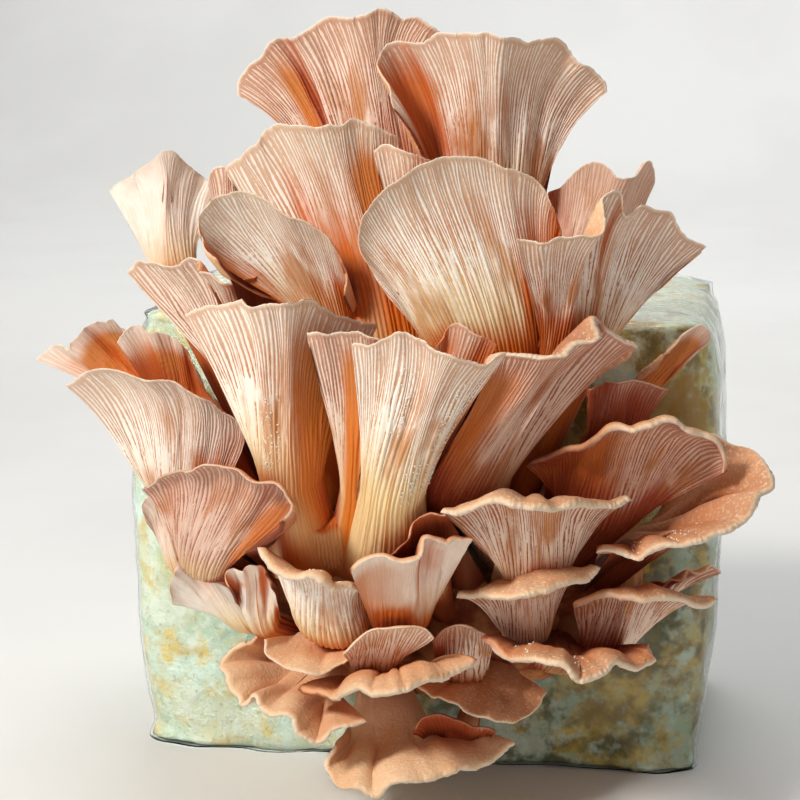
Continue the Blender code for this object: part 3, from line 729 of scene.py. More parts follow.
    # Painted shade: an orange lane down the fan where it lies in shadow, fading towards the rim and the root
    lane_shade = np.exp(-((even - shade_gold[0]) / max(shade_gold[1], MM)) ** 2)
    lane_shade = lane_shade * ((1 - smooth((t - 0.68) / 0.32)) * (0.35 + 0.65 * v))[:, None]
    whole = np.ones((len(rows), columns))
    bare = np.zeros((len(cap_rows), columns))
    marks = {
        "marked": marked,
        "shade_gold": np.vstack((lane_shade, bare)),
        "tone": tone,
        "cream": cream,
        "strand": even * gills,
        "gill": np.vstack((ridge * fade[:, None], bare)),
        "reach": t[rows][:, None],
        "cap": (np.arange(len(rows)) >= height)[:, None],
        "row": rows[:, None],
        "column": column,
    }
    for mark, values in marks.items():
        put_mark(piece, mark, values * whole)
    edit(
        piece,
        (bpy.ops.mesh.remove_doubles, {"threshold": MERGE_DISTANCE}),
        (bpy.ops.mesh.fill_holes, {"sides": 0}),
        (bpy.ops.mesh.normals_make_consistent, {"inside": False}),
    )
    shade_smooth(piece)
    settle(piece, flesh, "mushroom_flesh", "mushroom_" + place)
    sides, ways = (sheet[few], cap_side[few]), (facing[few], unit(back)[few])
    fans[place] = (piece, shade_share, few_rows, few_columns, sides, ways)


def oyster_flesh():
    """Oyster flesh: cream gills over orange, velvet peach caps with a pale edge, rosier to the right, with
    painted shade and glow.
    """
    material, shader, where = new_material("oyster_flesh")
    names = ("gill", "reach", "cap", "occlusion_shade", "tone", "strand", "marked", "cream", "shade_gold")
    gill, reach, cap, occlusion_shade, tone, strand, marked, cream, shade_gold = (
        add_node(shader, "ShaderNodeAttribute", attribute_name=name).outputs["Fac"] for name in names
    )

    def streaks(across, along, detail, third=0.0, scale=1.0, roughness=0.55):
        """Patches drawn out along the gills, that many to a gill and to the fan's length."""
        place = {"X": times(strand, across), "Y": times(reach, along), "Z": third}
        place = add_node(shader, "ShaderNodeCombineXYZ", place).outputs["Vector"]
        return mottle(place, scale, detail, roughness)

    def about(value, share):
        """A pattern moved to lie about zero, and that much of it."""
        return times(combined("SUBTRACT", value, 0.5), share)

    rosy = rising(plus(tone, about(mottle(where, 34, 3), 1.2)), -0.2, 1.1)
    sunny = rising(mottle(where, 19, 2), 0.40, 0.62)
    low = rising(reach, 0.05, 0.55)
    ridge = layered((250, 228, 180), (low, (255, 250, 240)), (rosy, (240, 210, 188)))
    blush = blended(rosy, (232, 202, 174), (206, 154, 128))
    outer = rising(reach, 0.45, 0.90, 0.0, 0.85)
    # Partly painted shade: the gaps between the gills get a darker orange-brown than the ridges, besides their
    # own colour
    valley_and_shade = layered((186, 106, 48), (sunny, (190, 118, 36)), (rosy, (156, 74, 42)), (outer, blush))
    dashes = streaks(0.8, 42.0, 2, roughness=0.5)
    thin = plus(rising(reach, 0.40, 0.95, 0.18, 0.50), about(streaks(0.45, 9.0, 3, roughness=0.6), 0.7))
    thin = plus(thin, about(dashes, 0.4))
    gill_edge = rising(combined("SUBTRACT", gill, thin), -0.09, 0.11)
    lined = blended(gill_edge, valley_and_shade, ridge)
    plain = blended(rising(streaks(0.45, 9.0, 2, scale=0.6), 0.35, 0.65, 0.72, 1.0), blush, ridge)
    # Painted shade: broad golden-brown streaks along the gills, standing in for the shadow in the fans' broad
    # folds
    shade_streaks = times(
        rising(streaks(0.09, 1.7, 3, times(tone, 9.0)), 0.48, 0.64, 0.0, 0.82),
        rising(reach, 0.50, 0.92, 1.0, 0.10),
        rising(marked, 0.0, 1.0, 0.2, 1.0),
    )
    near_rim = rising(reach, 0.975, 0.998)
    creamy = times(cream, rising(reach, 0.12, 0.75, 1.0, 0.0), rising(gill_edge, 0.0, 1.0, 0.85, 0.3))
    # Painted shade: the orange of the shaded lanes, deeper near the stem
    lane_shade_colour = blended(rising(reach, 0.35, 0.75), (216, 116, 14), (206, 120, 46))
    # Painted glow: orange where the flesh is shut in by the fans around it, on the gills and faintly on the
    # velvet
    painted_glow = rising(occlusion_shade, 0.18, 0.48)
    gill_colour = layered(
        blended(marked, plain, lined),
        (shade_streaks, (192, 118, 50)),
        (near_rim, (240, 220, 198)),
        (rising(reach, 0.0, 0.26, 0.80, 0.0), (242, 204, 142)),
        (creamy, (246, 220, 168)),
        (rising(shade_gold, 0.0, 0.75, 0.0, 0.97), lane_shade_colour),
        (times(painted_glow, 0.96), blended(rosy, (214, 108, 16), (176, 76, 38))),
    )
    specks = rising(mottle(where, 900, 2, 0.6), 0.52, 0.66)
    velvet = layered(
        blended(rosy, (242, 202, 160), (204, 150, 112)),
        (times(specks, 0.65), (246, 218, 180)),
        (rising(mottle(where, 70, 4), 0.35, 0.7, 0.0, 0.45), (220, 150, 98)),
        (rising(reach, 0.0, 0.30, 0.6, 0.0), (238, 204, 170)),
        (near_rim, (240, 208, 170)),
        (times(painted_glow, 0.45), (216, 116, 40)),
    )
    # Painted shade: fans with a tone above 1 are darkened, most in the gaps between gills and least at the rim
    shade_by_tone = times(
        rising(tone, 1.0, 2.0, 0.0, 0.9),
        rising(gill_edge, 0.0, 1.0, 1.0, 0.6),
        rising(reach, 0.90, 0.99, 1.0, 0.2),
    )
    colour = layered(
        blended(cap, gill_colour, velvet),
        # Painted shade: dark maroon where the flesh is most shut in
        (times(rising(occlusion_shade, 0.48, 0.80), 0.9), (122, 38, 12)),
        (shade_by_tone, (158, 84, 58)),
    )
    plug(shader.inputs["Base Color"], colour)
    plug(shader.inputs["Roughness"], rising(cap, 0.0, 1.0, 0.55, 0.75))
    relief = plus(times(gill, 0.4), times(dashes, 0.8))
    grained(shader, where, 700.0, relief, rising(cap, 0.0, 1.0, 0.35, 0.75), 0.0005)
    return material


flesh = oyster_flesh()

# The tall pair at the top, behind the rest. Like every mushroom of the flush they are one soft piece each, and
# their long stems run down behind the others to the fused base.
grow(
    "top_left", ahead=(0, 0, 10, 6), neck=(380, 205, 4), root=(365, 465, 11), flare=0.45, wide=1.6,
    bowl=0.0, spread=0.8, splay=0.9, folds=((0.3, 0.03, -3.5), (0.38, 0.03, 1.5), (0.6, 0.06, 1.5)),
    tone=0.75, shade_gold=(0.22, 0.05),
    rim=[(237, 95), (239, 76), (256, 60), (272, 42), (291, 38), (309, 27), (326, 18), (342, 15), (367, 13),
         (377, 6), (390, 11), (404, 20), (418, 17), (440, 32)],
)
grow(
    "top_right", ahead=(34, 24, 44, 34, 24), neck=(486, 222, 18), root=(470, 465, 11), flare=0.45, wide=1.7,
    bowl=0.5, splay=0.9, folds=((0.22, 0.04, -2.5), (0.72, 0.05, 1.5)), tone=0.35, shade_gold=(0.17, 0.08),
    rim=[(393, 108), (386, 84), (380, 60), (388, 48), (406, 43), (423, 40), (440, 33), (460, 33), (474, 36),
         (488, 32), (501, 34), (518, 37), (528, 42), (536, 38), (564, 41), (574, 58), (592, 66), (602, 78),
         (607, 92)],
)

# The second tier, fanned out to both sides with its gill sides to the light. Its stems lean outwards from the
# base, behind the big ones.
grow(
    "upper_right_back", ahead=(14, 22, 10), neck=(588, 262, 10), root=(520, 480, 10), flare=0.3, wide=1.4,
    bowl=0.3, marked=0.4, tone=0.8,
    rim=[(548, 192), (562, 186), (569, 178), (584, 165), (600, 164), (610, 169), (617, 178), (633, 175),
         (648, 161), (656, 178), (650, 196)],
)
grow(
    "upper_left_outer", ahead=(0, 14, 2), neck=(178, 275, 8), root=(285, 500, 8), stem=6, wide=1.2,
    bowl=0.0, spread=0.4, ruffle=1.4, marked=0.08,
    rim=[(110, 192), (116, 184), (131, 175), (143, 167), (153, 160), (165, 149), (173, 152), (190, 167),
         (202, 176), (217, 187)],
)
grow(
    "upper_left_curl", ahead=(12, 14, 12), neck=(236, 250, 11), root=(322, 478, 8), stem=4, flare=0.2,
    tone=0.6,
    rim=[(208, 184), (214, 168), (223, 165), (233, 176), (243, 194)],
)
grow(
    "second_left", ahead=(22, 40, 30), neck=(381, 335, 30), root=(385, 515, 22), flare=0.45, wide=1.9,
    bowl=0.4, folds=((0.22, 0.04, -2.0), (0.6, 0.08, 1.2)), tone=-0.05, shade_gold=(0.75, 0.15), cream=0.6,
    rim=[(226, 168), (233, 161), (246, 152), (258, 140), (276, 124), (291, 122), (316, 125), (341, 124),
         (358, 119), (373, 124), (390, 131), (401, 140), (404, 152)],
)
grow(
    "second_wedge", ahead=(42, 44, 42), neck=(424, 300, 34), root=(430, 480, 12), stem=4, flare=0.2,
    tone=0.2,
    rim=[(373, 150), (382, 146), (402, 148), (423, 156), (446, 168)],
)
grow(
    "left_round", ahead=(50, 54, 52, 46), neck=(330, 322, 34), root=(338, 515, 20), stem=7, wide=1.2,
    bowl=0.5, marked=0.85, tone=-0.15, shade_gold=(0.02, 0.1), cream=0.3,
    rim=[(222, 258), (207, 248), (198, 235), (197, 217), (203, 208), (218, 198), (232, 194), (244, 193),
         (260, 197), (283, 211), (312, 227), (330, 245), (341, 260), (345, 275), (342, 296)],
)

# The big round fan in the middle, with a bright cream bowl, and the fan folded forward beside it. The left
# one grows in front of the first tier from the same base.
grow(
    "centre_round", ahead=(54, 60, 62, 58, 46), neck=(488, 345, 44), root=(450, 505, 20), stem=10, wide=2.1,
    bowl=0.35, tone=-0.1, cream=1.0,
    rim=[(400, 294), (374, 274), (364, 256), (359, 239), (362, 220), (376, 197), (397, 180), (425, 163),
         (444, 157), (468, 156), (492, 161), (515, 171), (534, 178), (548, 197), (558, 218), (559, 238)],
)
grow(
    "right_fold", ahead=(70, 66, 52, 38, 28), neck=(572, 345, 38), root=(500, 530, 22), flare=0.4, wide=1.5,
    tone=0.4,
    rim=[(517, 240), (540, 242), (558, 239), (576, 237), (600, 231), (609, 199), (619, 193), (626, 215),
         (640, 203), (657, 211), (673, 213), (678, 227), (690, 239), (706, 248), (690, 258), (668, 274)],
)
grow(
    "left_middle", ahead=(22, 40, 46, 36), neck=(262, 400, 26), root=(300, 535, 14), stem=7, flare=0.45,
    tone=0.35, shade_gold=(1.0, 0.2),
    rim=[(127, 272), (135, 262), (150, 261), (175, 266), (190, 258), (197, 262), (196, 271), (209, 275),
         (226, 281), (251, 280), (269, 275), (281, 281), (292, 292)],
)

# The tall front fans, with their gills towards the viewer. Their thick stems stand free in front of the base
# and run together at the foot in a golden web.
grow(
    "front_left", ahead=(50, 66, 78, 66, 50), neck=(292, 478, 54), root=(308, 568, 44), stem=10, flare=0.4,
    wide=0.95, bowl=0.0, spread=0.6, foot=1.6,
    folds=((0.25, 0.05, -4.0), (0.37, 0.08, 3.0), (0.72, 0.14, -2.0)), ruffle=0.4, tone=0.25,
    shade_gold=(1.0, 0.45), cream=0.4, shade_share=0.6,
    rim=[(184, 314), (207, 306), (236, 305), (244, 297), (256, 300), (283, 304), (310, 302), (335, 316),
         (358, 321), (378, 324)],
)
grow(
    "front_centre_left", ahead=(72, 76, 76), neck=(362, 492, 56), root=(352, 570, 46), stem=7, flare=0.4,
    wide=0.9, foot=1.8, ruffle=0.5, tone=0.7, shade_gold=(0.45, 0.14), cream=0.4, shade_share=0.5,
    rim=[(306, 332), (330, 335), (358, 333), (380, 338), (396, 346)],
)
grow(
    "front_centre", ahead=(84, 92, 98, 86), neck=(393, 492, 66), root=(387, 568, 50), stem=10, flare=0.4,
    wide=0.95, bowl=0.0, spread=0.3, foot=1.8,
    folds=((0.3, 0.05, 1.5), (0.45, 0.06, -1.5), (0.85, 0.06, 1.5)), ruffle=0.35, tone=0.25, cream=0.6,
    shade_share=0.5,
    rim=[(351, 346), (371, 343), (386, 336), (398, 328), (405, 330), (414, 341), (434, 350), (452, 357),
         (493, 357), (508, 351)],
)
grow(
    "front_centre_curl", ahead=(64, 66, 64), neck=(433, 440, 58), root=(432, 576, 24), stem=3, flare=0.2,
    rim=[(436, 346), (445, 337), (452, 327), (464, 326), (479, 334), (497, 344)],
)
grow(
    "right_centre", ahead=(72, 74, 62, 44), neck=(468, 480, 52), root=(464, 573, 26), stem=9, wide=1.6,
    bowl=0.5, edge=2.0, tone=1.4, shade_gold=(0.05, 0.2), shade_share=0.8,
    rim=[(489, 372), (493, 358), (512, 355), (527, 357), (552, 356), (565, 357), (581, 347), (602, 335),
         (596, 320), (611, 332), (637, 349), (616, 360), (601, 368)],
)

# The right side: a slim young one, a small one, and wide brackets that hang out past the block. They grew
# rosier than most, and three are also darkened as painted shade. Their stems run back to the base under them.
grow(
    "right_slim", ahead=(16, 14, 12), neck=(628, 398, 12), root=(585, 500, 7), stem=5, flare=0.3,
    ruffle=0.2, marked=0.0, tone=1.0, shade_gold=(0.5, 2.0),
    rim=[(650, 374), (662, 357), (675, 344), (690, 330), (705, 327), (712, 333), (705, 345), (690, 358),
         (672, 375)],
)
grow(
    "right_small", ahead=(40, 46, 36), neck=(608, 440, 32), root=(530, 545, 14), stem=5, flare=0.3,
    wide=1.5, tone=1.2,
    rim=[(588, 388), (605, 384), (625, 383), (646, 384), (668, 388)],
)
grow(
    "right_bracket", ahead=(50, 62, 46), neck=(596, 508, 38), root=(548, 575, 14), stem=7, flare=1.6,
    wide=2.0, bowl=0.3, level=0.45, edge=2.0, tone=1.2, shade_gold=(0.2, 0.3),
    rim=[(526, 464), (547, 460), (574, 453), (596, 442), (619, 433), (645, 427), (670, 427), (692, 434),
         (715, 446), (727, 462), (724, 473)],
)
grow(
    "far_right", ahead=(66, 66, 48, 18), neck=(634, 546, 20), root=(585, 592, 8), stem=7, edge=2.0,
    tone=1.25,
    rim=[(596, 554), (612, 556), (641, 555), (685, 547), (719, 538), (739, 525), (752, 514), (762, 500),
         (775, 486), (768, 465), (752, 449), (737, 445), (721, 437), (708, 433)],
)
grow(
    "centre_right_shelf", ahead=(80, 86, 62), neck=(534, 572, 50), root=(508, 588, 17), flare=1.8, wide=1.2,
    bowl=0.4, level=0.5, edge=2.0, tone=0.75, shade_share=0.45,
    rim=[(440, 514), (462, 512), (485, 508), (529, 509), (563, 511), (596, 509), (623, 506), (634, 502)],
)

# The left side: two smooth petals at the far left, a large fan in front of them, and below it one darkened as
# painted shade and a small frill. They all hang on short stems from the base's left edge.
grow(
    "far_left_small", ahead=(4, 10, 4), neck=(150, 395, 6), root=(262, 500, 6), stem=5, flare=0.4,
    folds=((0.35, 0.06, 2.5), (0.6, 0.06, -2.5)), ruffle=1.5, marked=0.35, tone=0.35, shade_gold=(0.6, 0.5),
    rim=[(36, 358), (50, 350), (65, 351), (75, 336), (95, 322), (110, 320), (126, 328)],
)
grow(
    "left_behind", ahead=(22, 24, 20), neck=(205, 430, 20), root=(285, 545, 14), stem=5, flare=0.3,
    wide=2.0, folds=((0.3, 0.07, 2.5), (0.6, 0.08, -2.5)), ruffle=1.6, marked=0.15, tone=0.5,
    shade_gold=(0.5, 0.5),
    rim=[(118, 342), (126, 327), (145, 325), (165, 335), (178, 347), (192, 364), (206, 384), (216, 404)],
)
grow(
    "left_large", ahead=(18, 42, 36), neck=(200, 520, 20), root=(275, 565, 9), stem=9, wide=1.8, bowl=0.4,
    marked=0.85,
    rim=[(66, 383), (80, 375), (100, 372), (130, 374), (160, 380), (180, 390), (210, 400), (225, 413),
         (244, 427)],
)
grow(
    "left_lower", ahead=(40, 68, 80), neck=(206, 556, 42), root=(250, 568, 10), flare=0.8, wide=1.2,
    bowl=0.5, marked=0.8, tone=1.5, shade_gold=(0.9, 0.15), shade_share=1.3,
    rim=[(142, 489), (158, 479), (179, 471), (199, 468), (230, 470), (255, 479), (275, 489), (291, 505),
         (279, 522)],
)
grow(
    "left_frill", ahead=(24, 30, 26), neck=(180, 562, 20), root=(262, 600, 7), stem=4, flare=0.3,
    marked=0.3, tone=0.5,
    rim=[(146, 520), (142, 503), (152, 498), (163, 507), (168, 524)],
)

# The low shelves in the middle: wavy lobes of soft pale flesh, folded over one another. They come straight
# out of the base's lower half, and the two widest have thick velvet edges.
grow(
    "centre_shelf", ahead=(62, 78, 60), neck=(332, 622, 48), root=(360, 622, 14), flare=1.4, wide=1.5,
    bowl=0.4, level=0.45, edge=2.0, marked=0.6, tone=0.25, shade_share=0.5,
    rim=[(255, 549), (264, 560), (274, 570), (287, 578), (305, 583), (326, 589), (348, 587), (363, 591),
         (368, 574)],
)
grow(
    "centre_wavy", ahead=(73, 76, 74), neck=(432, 588, 46), root=(448, 620, 14), stem=4, flare=0.3,
    wide=1.6, marked=0.3, tone=0.5,
    rim=[(384, 556), (400, 551), (411, 541), (416, 521), (429, 512), (446, 513), (464, 506)],
)
grow(
    "centre_fold", ahead=(78, 82, 76), neck=(402, 619, 50), root=(400, 632, 16), stem=6, flare=0.4,
    wide=1.6, bowl=0.7, folds=((0.66, 0.05, -3.0), (0.8, 0.05, 2.0)), edge=1.4, marked=0.1,
    shade_gold=(-0.8, 1.1),
    rim=[(352, 574), (363, 565), (385, 559), (404, 561), (428, 550), (444, 542), (473, 540)],
)
grow(
    "lower_left_pale", ahead=(26, 40, 40), neck=(250, 618, 22), root=(272, 622, 7), stem=5, flare=0.3,
    wide=1.5, bowl=0.4, folds=((0.28, 0.06, 2.8), (0.5, 0.07, -2.5), (0.75, 0.07, 2.5)), ruffle=2.2,
    marked=0.08, tone=0.0,
    rim=[(171, 602), (170, 582), (176, 567), (188, 562), (204, 568), (222, 575), (237, 590)],
)
grow(
    "lower_left_bud", ahead=(50, 52, 50), neck=(266, 622, 34), root=(325, 640, 12), stem=5, flare=0.3,
    folds=((0.35, 0.09, 2.0), (0.65, 0.08, -2.0)), ruffle=1.6, marked=0.08, tone=0.2,
    rim=[(231, 588), (232, 575), (242, 569), (256, 567), (269, 574), (275, 586)],
)
grow(
    "lower_centre_fold", ahead=(52, 66, 60), neck=(320, 640, 34), root=(335, 640, 12), stem=5, wide=1.6,
    marked=0.4, shade_share=0.55,
    rim=[(262, 640), (264, 654), (280, 663), (300, 672), (318, 677), (338, 668), (352, 658)],
)
grow(
    "lower_centre_small", ahead=(66, 70, 64), neck=(376, 666, 49), root=(425, 665, 14), stem=5, flare=0.3,
    wide=1.5, bowl=0.3, tone=0.2, shade_share=0.5,
    rim=[(344, 656), (356, 641), (376, 631), (400, 628), (424, 632), (432, 641)],
)
grow(
    "lower_right_small", ahead=(50, 54, 48), neck=(462, 668, 36), root=(462, 650, 16), stem=6, flare=0.3,
    tone=0.8, shade_share=0.6,
    rim=[(432, 642), (446, 630), (463, 626), (480, 631), (494, 644)],
)

# The right-hand shelves: flat velvet caps one above the other, with short lit gills under each edge. Their
# stems go back to the base under them.
grow(
    "right_low_shelf", ahead=(58, 74, 56), neck=(526, 630, 38), root=(515, 632, 12), stem=7, flare=2.2,
    wide=1.0, bowl=0.3, level=0.55, edge=2.0, tone=0.8, shade_share=0.4,
    rim=[(456, 597), (485, 600), (502, 601), (529, 597), (565, 588), (592, 579), (601, 567)],
)
grow(
    "lower_right_shelf", ahead=(48, 60, 34), neck=(604, 640, 28), root=(565, 625, 12), flare=1.6, wide=1.2,
    bowl=0.3, level=0.45, edge=2.0, tone=1.1, shade_share=0.6,
    rim=[(574, 608), (590, 603), (611, 600), (640, 600), (668, 604), (700, 606), (719, 600)],
)
grow(
    "right_ruffle", ahead=(30, 30, 20), neck=(640, 612, 16), root=(590, 605, 10), stem=6, flare=0.3,
    folds=((0.3, 0.06, 2.0), (0.6, 0.06, -2.0)), ruffle=1.6, tone=1.0,
    rim=[(640, 590), (663, 582), (690, 577), (712, 566), (721, 574)],
)
grow(
    "lower_right_cap", ahead=(58, 82, 74, 46), neck=(560, 648, 26), root=(545, 650, 10), wide=1.6, edge=2.0,
    tone=0.95, shade_share=1.2,
    rim=[(480, 640), (495, 652), (512, 660), (545, 666), (566, 670), (573, 678), (589, 683), (609, 675),
         (617, 665), (642, 670), (656, 662), (648, 644)],
)
grow(
    "lower_right_smooth", ahead=(44, 58, 28), neck=(492, 672, 24), root=(480, 672, 8), stem=6, flare=0.3,
    wide=1.5, tone=1.2, shade_share=0.5,
    rim=[(416, 684), (438, 700), (461, 709), (484, 719), (510, 723), (528, 716), (540, 706), (547, 692)],
)

# The frilled caps at the bottom, which turn their velvet side to the viewer. Their edges are the waviest of
# the flush, and the lowest one hangs in front of the bag's foot.
grow(
    "lower_centre_frilled", ahead=(56, 80, 60), neck=(392, 672, 30), root=(392, 672, 10), stem=7, flare=0.9,
    wide=1.5, folds=((0.2, 0.05, 1.2), (0.4, 0.05, 1.2), (0.6, 0.05, 1.2), (0.8, 0.05, 1.2)), edge=2.0,
    shade_share=0.8,
    rim=[(297, 691), (313, 696), (335, 698), (359, 691), (376, 697), (400, 691), (430, 683), (461, 672),
         (477, 658)],
)
grow(
    "lower_left_frilled", ahead=(30, 52, 66, 60), neck=(314, 672, 22), root=(340, 668, 8), flare=0.4,
    wide=1.5, bowl=0.1, folds=((0.25, 0.05, -2.0), (0.42, 0.05, 2.0), (0.6, 0.05, -2.0), (0.78, 0.05, 2.0)),
    ruffle=2.2, edge=1.4, tone=0.1, shade_share=0.5,
    rim=[(257, 632), (240, 640), (222, 663), (230, 688), (242, 707), (253, 698), (268, 719), (286, 719),
         (301, 734), (324, 739), (350, 730), (364, 718)],
)
grow(
    "bottom", ahead=(50, 64, 42), neck=(388, 722, 27), root=(384, 672, 10), stem=9, wide=1.4,
    folds=((0.3, 0.05, -2.5), (0.5, 0.05, 1.5), (0.7, 0.05, -1.5)), ruffle=1.2, edge=1.5, tone=0.15,
    shade_share=0.5,
    rim=[(333, 744), (326, 760), (338, 788), (357, 793), (376, 798), (389, 789), (428, 781), (451, 775),
         (494, 763), (516, 745)],
)
grow(
    "bottom_small", ahead=(46, 50, 44), neck=(458, 750, 28), root=(475, 700, 7), stem=4, flare=0.2,
    tone=0.6,
    rim=[(412, 734), (423, 722), (447, 718), (475, 725), (495, 735)],
)

# The web between the two front stems, where their feet have grown together into one golden saddle with ribs
# down its front. It belongs to the fused base.
WEB_PLACE = (331, 537, 40.5)
WEB_HALF = (0.0125, 0.0145, 0.0125)
WEB_SQUARENESS = 3.0
WEB_RIB = 0.0012
WEB_RIB_HEIGHT = 0.00028
WEB_LEAN = 0.42
WEB_TURN = 0.001
WEB_SAG = 0.42
WEB_SAG_WIDTH = 0.26
WEB_STRANDS = 12

web = add_piece(
    bpy.ops.mesh.primitive_uv_sphere_add, "base_web", segments=512, ring_count=48, radius=1, calc_uvs=False
)
ball = points_of(web)
ball = ball / (abs(ball) ** WEB_SQUARENESS).sum(axis=1)[:, None] ** (1 / WEB_SQUARENESS)
x, y, z = ball.T
sag = 1 - WEB_SAG * np.exp(-(x / WEB_SAG_WIDTH) ** 2) * (z > 0) * z
ribs = WEB_RIB_HEIGHT * np.cos(2 * math.pi * x * WEB_HALF[0] / WEB_RIB + 1.5 * waves(ball, 0.8, 31))
ribs *= np.clip(-y * 2, 0, 1)
places = np.column_stack((
    x * WEB_HALF[0],
    y * WEB_HALF[1] - ribs - z * WEB_HALF[2] * WEB_LEAN - x * WEB_TURN,
    z * sag * WEB_HALF[2],
))
put_points(web, places + photo_points(*WEB_PLACE)[0])
web_marks = {
    "cream": 0.4,
    "gill": ribs / WEB_RIB_HEIGHT * 0.5 + 0.5,
    "reach": 0.08,
    "tone": 0.1,
    "marked": 1.0,
    "strand": x * WEB_STRANDS,
    # Painted shade: a fixed shut-in value, higher towards the web's top
    "occlusion_shade": 0.28 + 0.28 * smooth((z - 0.4) / 0.5),
}
for mark, values in web_marks.items():
    put_mark(web, mark, values)


def join_to(piece, added):
    """Makes one object part of another."""
    added.select_set(True)
    piece.select_set(True)
    bpy.context.view_layer.objects.active = piece
    bpy.ops.object.join()


web.data.materials.append(flesh)
join_to(base, web)

# Spores. They have fallen on the fans below and lie there as fine pale grains, in short rows on the gills and
# on the velvet.
GRAIN_SMALL = 0.00016
GRAIN_LARGE = 0.00036
GRAINS_IN_ROW = 6
ROW_SCATTER = 0.004
# Mushroom, whether they lie on its cap side, how many, and the shares of the rim and of the reach between them
SPORE_FALLS = (
    ("front_centre", 0, 170, (0.80, 0.96), (0.05, 0.75)),
    ("front_centre", 0, 90, (0.50, 0.95), (0.00, 0.22)),
    ("front_centre", 0, 40, (0.25, 0.45), (0.35, 0.70)),
    ("front_left", 0, 120, (0.24, 0.46), (0.06, 0.42)),
    ("far_right", 1, 60, (0.10, 0.50), (0.45, 0.95)),
    ("lower_right_cap", 1, 60, (0.15, 0.60), (0.40, 0.95)),
    ("centre_shelf", 1, 50, (0.15, 0.80), (0.75, 0.98)),
    ("right_centre", 1, 30, (0.30, 0.70), (0.80, 0.98)),
)


def between(grid, row, column):
    """What a grid of values or points reads part of the way between its rows and columns."""
    r = np.minimum(np.asarray(row).astype(int), grid.shape[0] - 2)
    c = np.minimum(np.asarray(column).astype(int), grid.shape[1] - 2)
    up, across = row - r, column - c
    low = grid[r, c] * (1 - across) + grid[r, c + 1] * across
    return low * (1 - up) + (grid[r + 1, c] * (1 - across) + grid[r + 1, c + 1] * across) * up


grain_finish = patchy_material("spore_grains", 300.0, (250, 232, 204), (236, 240, 242), 0.35)[0]
chance = np.random.RandomState(17)
for name, side, count, (left, right), (low, high) in SPORE_FALLS:
    piece, _, few_rows, few_columns, sides, ways = fans[name]
    grains = add_piece(bpy.ops.object.add, "grains", type="MESH")
    grains.data.materials.append(grain_finish)
    stem_share = STEM_ROWS / 3 / (len(few_rows) - 1)
    bpy.ops.object.mode_set(mode="EDIT")
    middle = chance.uniform(left, right)
    for k in range(count):
        if k % GRAINS_IN_ROW == 0:
            middle = chance.uniform(left, right)
        across = np.clip(middle + chance.normal() * ROW_SCATTER, 0, 1) * (len(few_columns) - 1)
        up = (stem_share + (1 - stem_share) * chance.uniform(low, high)) * (len(few_rows) - 1)
        lift = GILL_HEIGHT * 0.6 if side == 0 else GRAIN_SMALL / 2
        size = chance.uniform(GRAIN_SMALL, GRAIN_LARGE)
        place = between(sides[side], up, across) + unit(between(ways[side], up, across)) * lift
        bpy.ops.mesh.primitive_ico_sphere_add(subdivisions=1, radius=size, location=place, calc_uvs=False)
    bpy.ops.object.mode_set(mode="OBJECT")
    join_to(piece, grains)

# Painted shade in the folds. Each fan carries how shut in every place on it is by the flesh around it, and
# there its flesh is painted orange as a painted glow, and dark maroon deepest in as painted shade.
NOOK_REACH = 0.055
NOOK_RAYS = 24
NOOK_START = 0.0012
NOOK_SPRAY = 1.05

corners, polygons, counted = [], [], 0
for _, _, few_rows, few_columns, sides, _ in fans.values():
    rows, columns = len(few_rows), len(few_columns)
    corner = (np.arange(rows - 1)[:, None] * columns + np.arange(columns - 1)).ravel()
    quads = np.column_stack((corner, corner + 1, corner + columns + 1, corner + columns))
    for side in sides:
        corners.append(side.reshape(-1, 3))
        polygons += (quads + counted).tolist()
        counted += rows * columns
for solid in (base, block):
    corners.append(points_of(solid))
    polygons += [[corner + counted for corner in face.vertices] for face in solid.data.polygons]
    counted += len(corners[-1])
everything = BVHTree.FromPolygons(np.concatenate(corners).tolist(), polygons)
spray = unit(np.random.RandomState(5).normal(size=(NOOK_RAYS, 3)))


def shut_in(places, ways):
    """How shut in each place is by the flesh around it, from 0 in the open to 1 deep in a fold."""
    found = np.empty(len(places))
    for k, (place, way) in enumerate(zip(places, ways)):
        start = Vector(place + way * NOOK_START)
        shut = 0.0
        for ray in unit(spray + way * NOOK_SPRAY):
            distance = everything.ray_cast(start, Vector(ray), NOOK_REACH)[3]
            if distance is not None:
                shut += 1 - distance / NOOK_REACH
        found[k] = shut / NOOK_RAYS
    return found


for piece, shade_share, few_rows, few_columns, sides, ways in fans.values():
    marks = piece.data.attributes
    row, column, cap = (read(marks[name].data, "value", 1)[:, 0] for name in ("row", "column", "cap"))
    row = np.interp(row, few_rows, np.arange(len(few_rows)))
    column = np.interp(column, few_columns, np.arange(len(few_columns)))
    gill_shade, cap_shade = (
        between(shut_in(side.reshape(-1, 3), way.reshape(-1, 3)).reshape(side.shape[:2]), row, column)
        for side, way in zip(sides, ways)
    )
    # Painted shade: each point keeps how shut in it is, times the fan's share of painted shade
    put_mark(piece, "occlusion_shade", np.where(cap > 0.5, cap_shade, gill_shade) * shade_share)
    for name in ("row", "column"):
        marks.remove(marks[name])

# The studio: a plain pale floor that curves up behind, a strong lamp from the upper left, weaker ones from the
# right, from low in front and from above, one on the backdrop, and the camera at the viewer's place.
FLOOR_SIZE = 16.0
FLOOR_BENDS = 1.3
FLOOR_CURVE = 0.8
CAMERA_SENSOR = 36.0
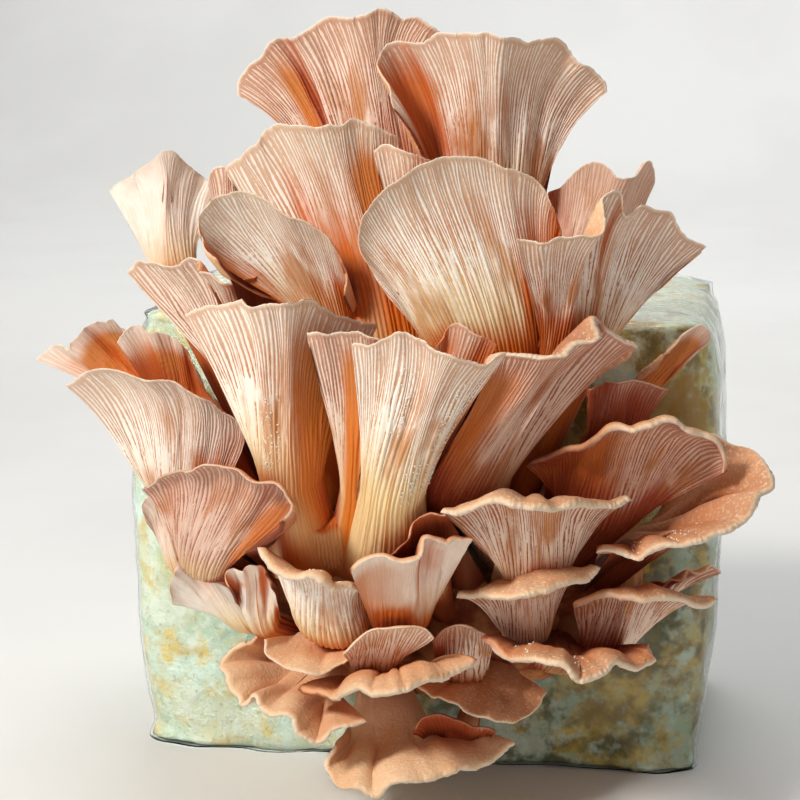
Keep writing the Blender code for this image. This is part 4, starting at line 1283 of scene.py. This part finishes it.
# Name, place, what it looks at, size, power and colour
LAMPS = (
    ("key_lamp", (-0.68, -0.82, 0.90), (0, -0.06, 0.13), 0.26, 15.0, (1.0, 0.97, 0.92)),
    ("fill_lamp", (1.0, -0.7, 0.35), (0, -0.05, 0.12), 0.8, 1.3, (1.0, 0.95, 0.92)),
    ("low_lamp", (0.15, -1.3, 0.06), (0, -0.05, 0.08), 0.7, 1.4, (1.0, 0.94, 0.88)),
    ("backdrop_lamp", (0, 0.9, 1.7), (0, 2.1, 0.3), 1.0, 22, (0.97, 0.98, 1.0)),
    ("top_lamp", (0.1, 0.25, 1.5), (0, 0.1, 0), 1.2, 5.5, (0.96, 0.98, 1.0)),
)

floor = add_piece(
    bpy.ops.mesh.primitive_grid_add, "studio_floor",
    x_subdivisions=1, y_subdivisions=200, size=FLOOR_SIZE, calc_uvs=False,
)
x, y, z = points_of(floor).T
bent = np.clip((y - FLOOR_BENDS) / FLOOR_CURVE, 0, math.pi / 2)
past = np.maximum(y - FLOOR_BENDS - FLOOR_CURVE * math.pi / 2, 0)
y = np.where(bent > 0, FLOOR_BENDS + FLOOR_CURVE * np.sin(bent), y)
put_points(floor, np.column_stack((x, y, FLOOR_CURVE * (1 - np.cos(bent)) + past)))
shade_smooth(floor)
floor.data.materials.append(patchy_material("pale_floor", 3.0, (226, 225, 222), (232, 231, 228), 0.6)[0])


def stand(name, data, place, way):
    """Puts a lamp or the camera at a place, looking that way."""
    holder = bpy.data.objects.new(name, data)
    bpy.context.scene.collection.objects.link(holder)
    holder.location = place
    holder.rotation_euler = Vector(way).to_track_quat("-Z", "Y").to_euler()
    return holder


for name, place, aim, size, power, colour in LAMPS:
    lamp = bpy.data.lights.new(name, "AREA")
    lamp.shape = "SQUARE"
    lamp.size = size
    lamp.energy = power
    lamp.color = colour
    stand(name, lamp, place, Vector(aim) - Vector(place))
world = bpy.data.worlds.new("studio")
world.use_nodes = True
world.node_tree.nodes["Background"].inputs["Color"].default_value = (0.90, 0.92, 0.95, 1.0)
world.node_tree.nodes["Background"].inputs["Strength"].default_value = 0.12
bpy.context.scene.world = world
bpy.context.scene.view_settings.view_transform = "Standard"

away = level_view()[0]
lens = bpy.data.cameras.new("viewer")
lens.sensor_width = CAMERA_SENSOR
lens.lens = CAMERA_SENSOR * VIEW_DISTANCE / (2 * PHOTO_MIDDLE * PIXEL)
lens.clip_start = 0.01
bpy.context.scene.camera = stand("viewer", lens, VIEW_AIM + away * VIEW_DISTANCE, -away)
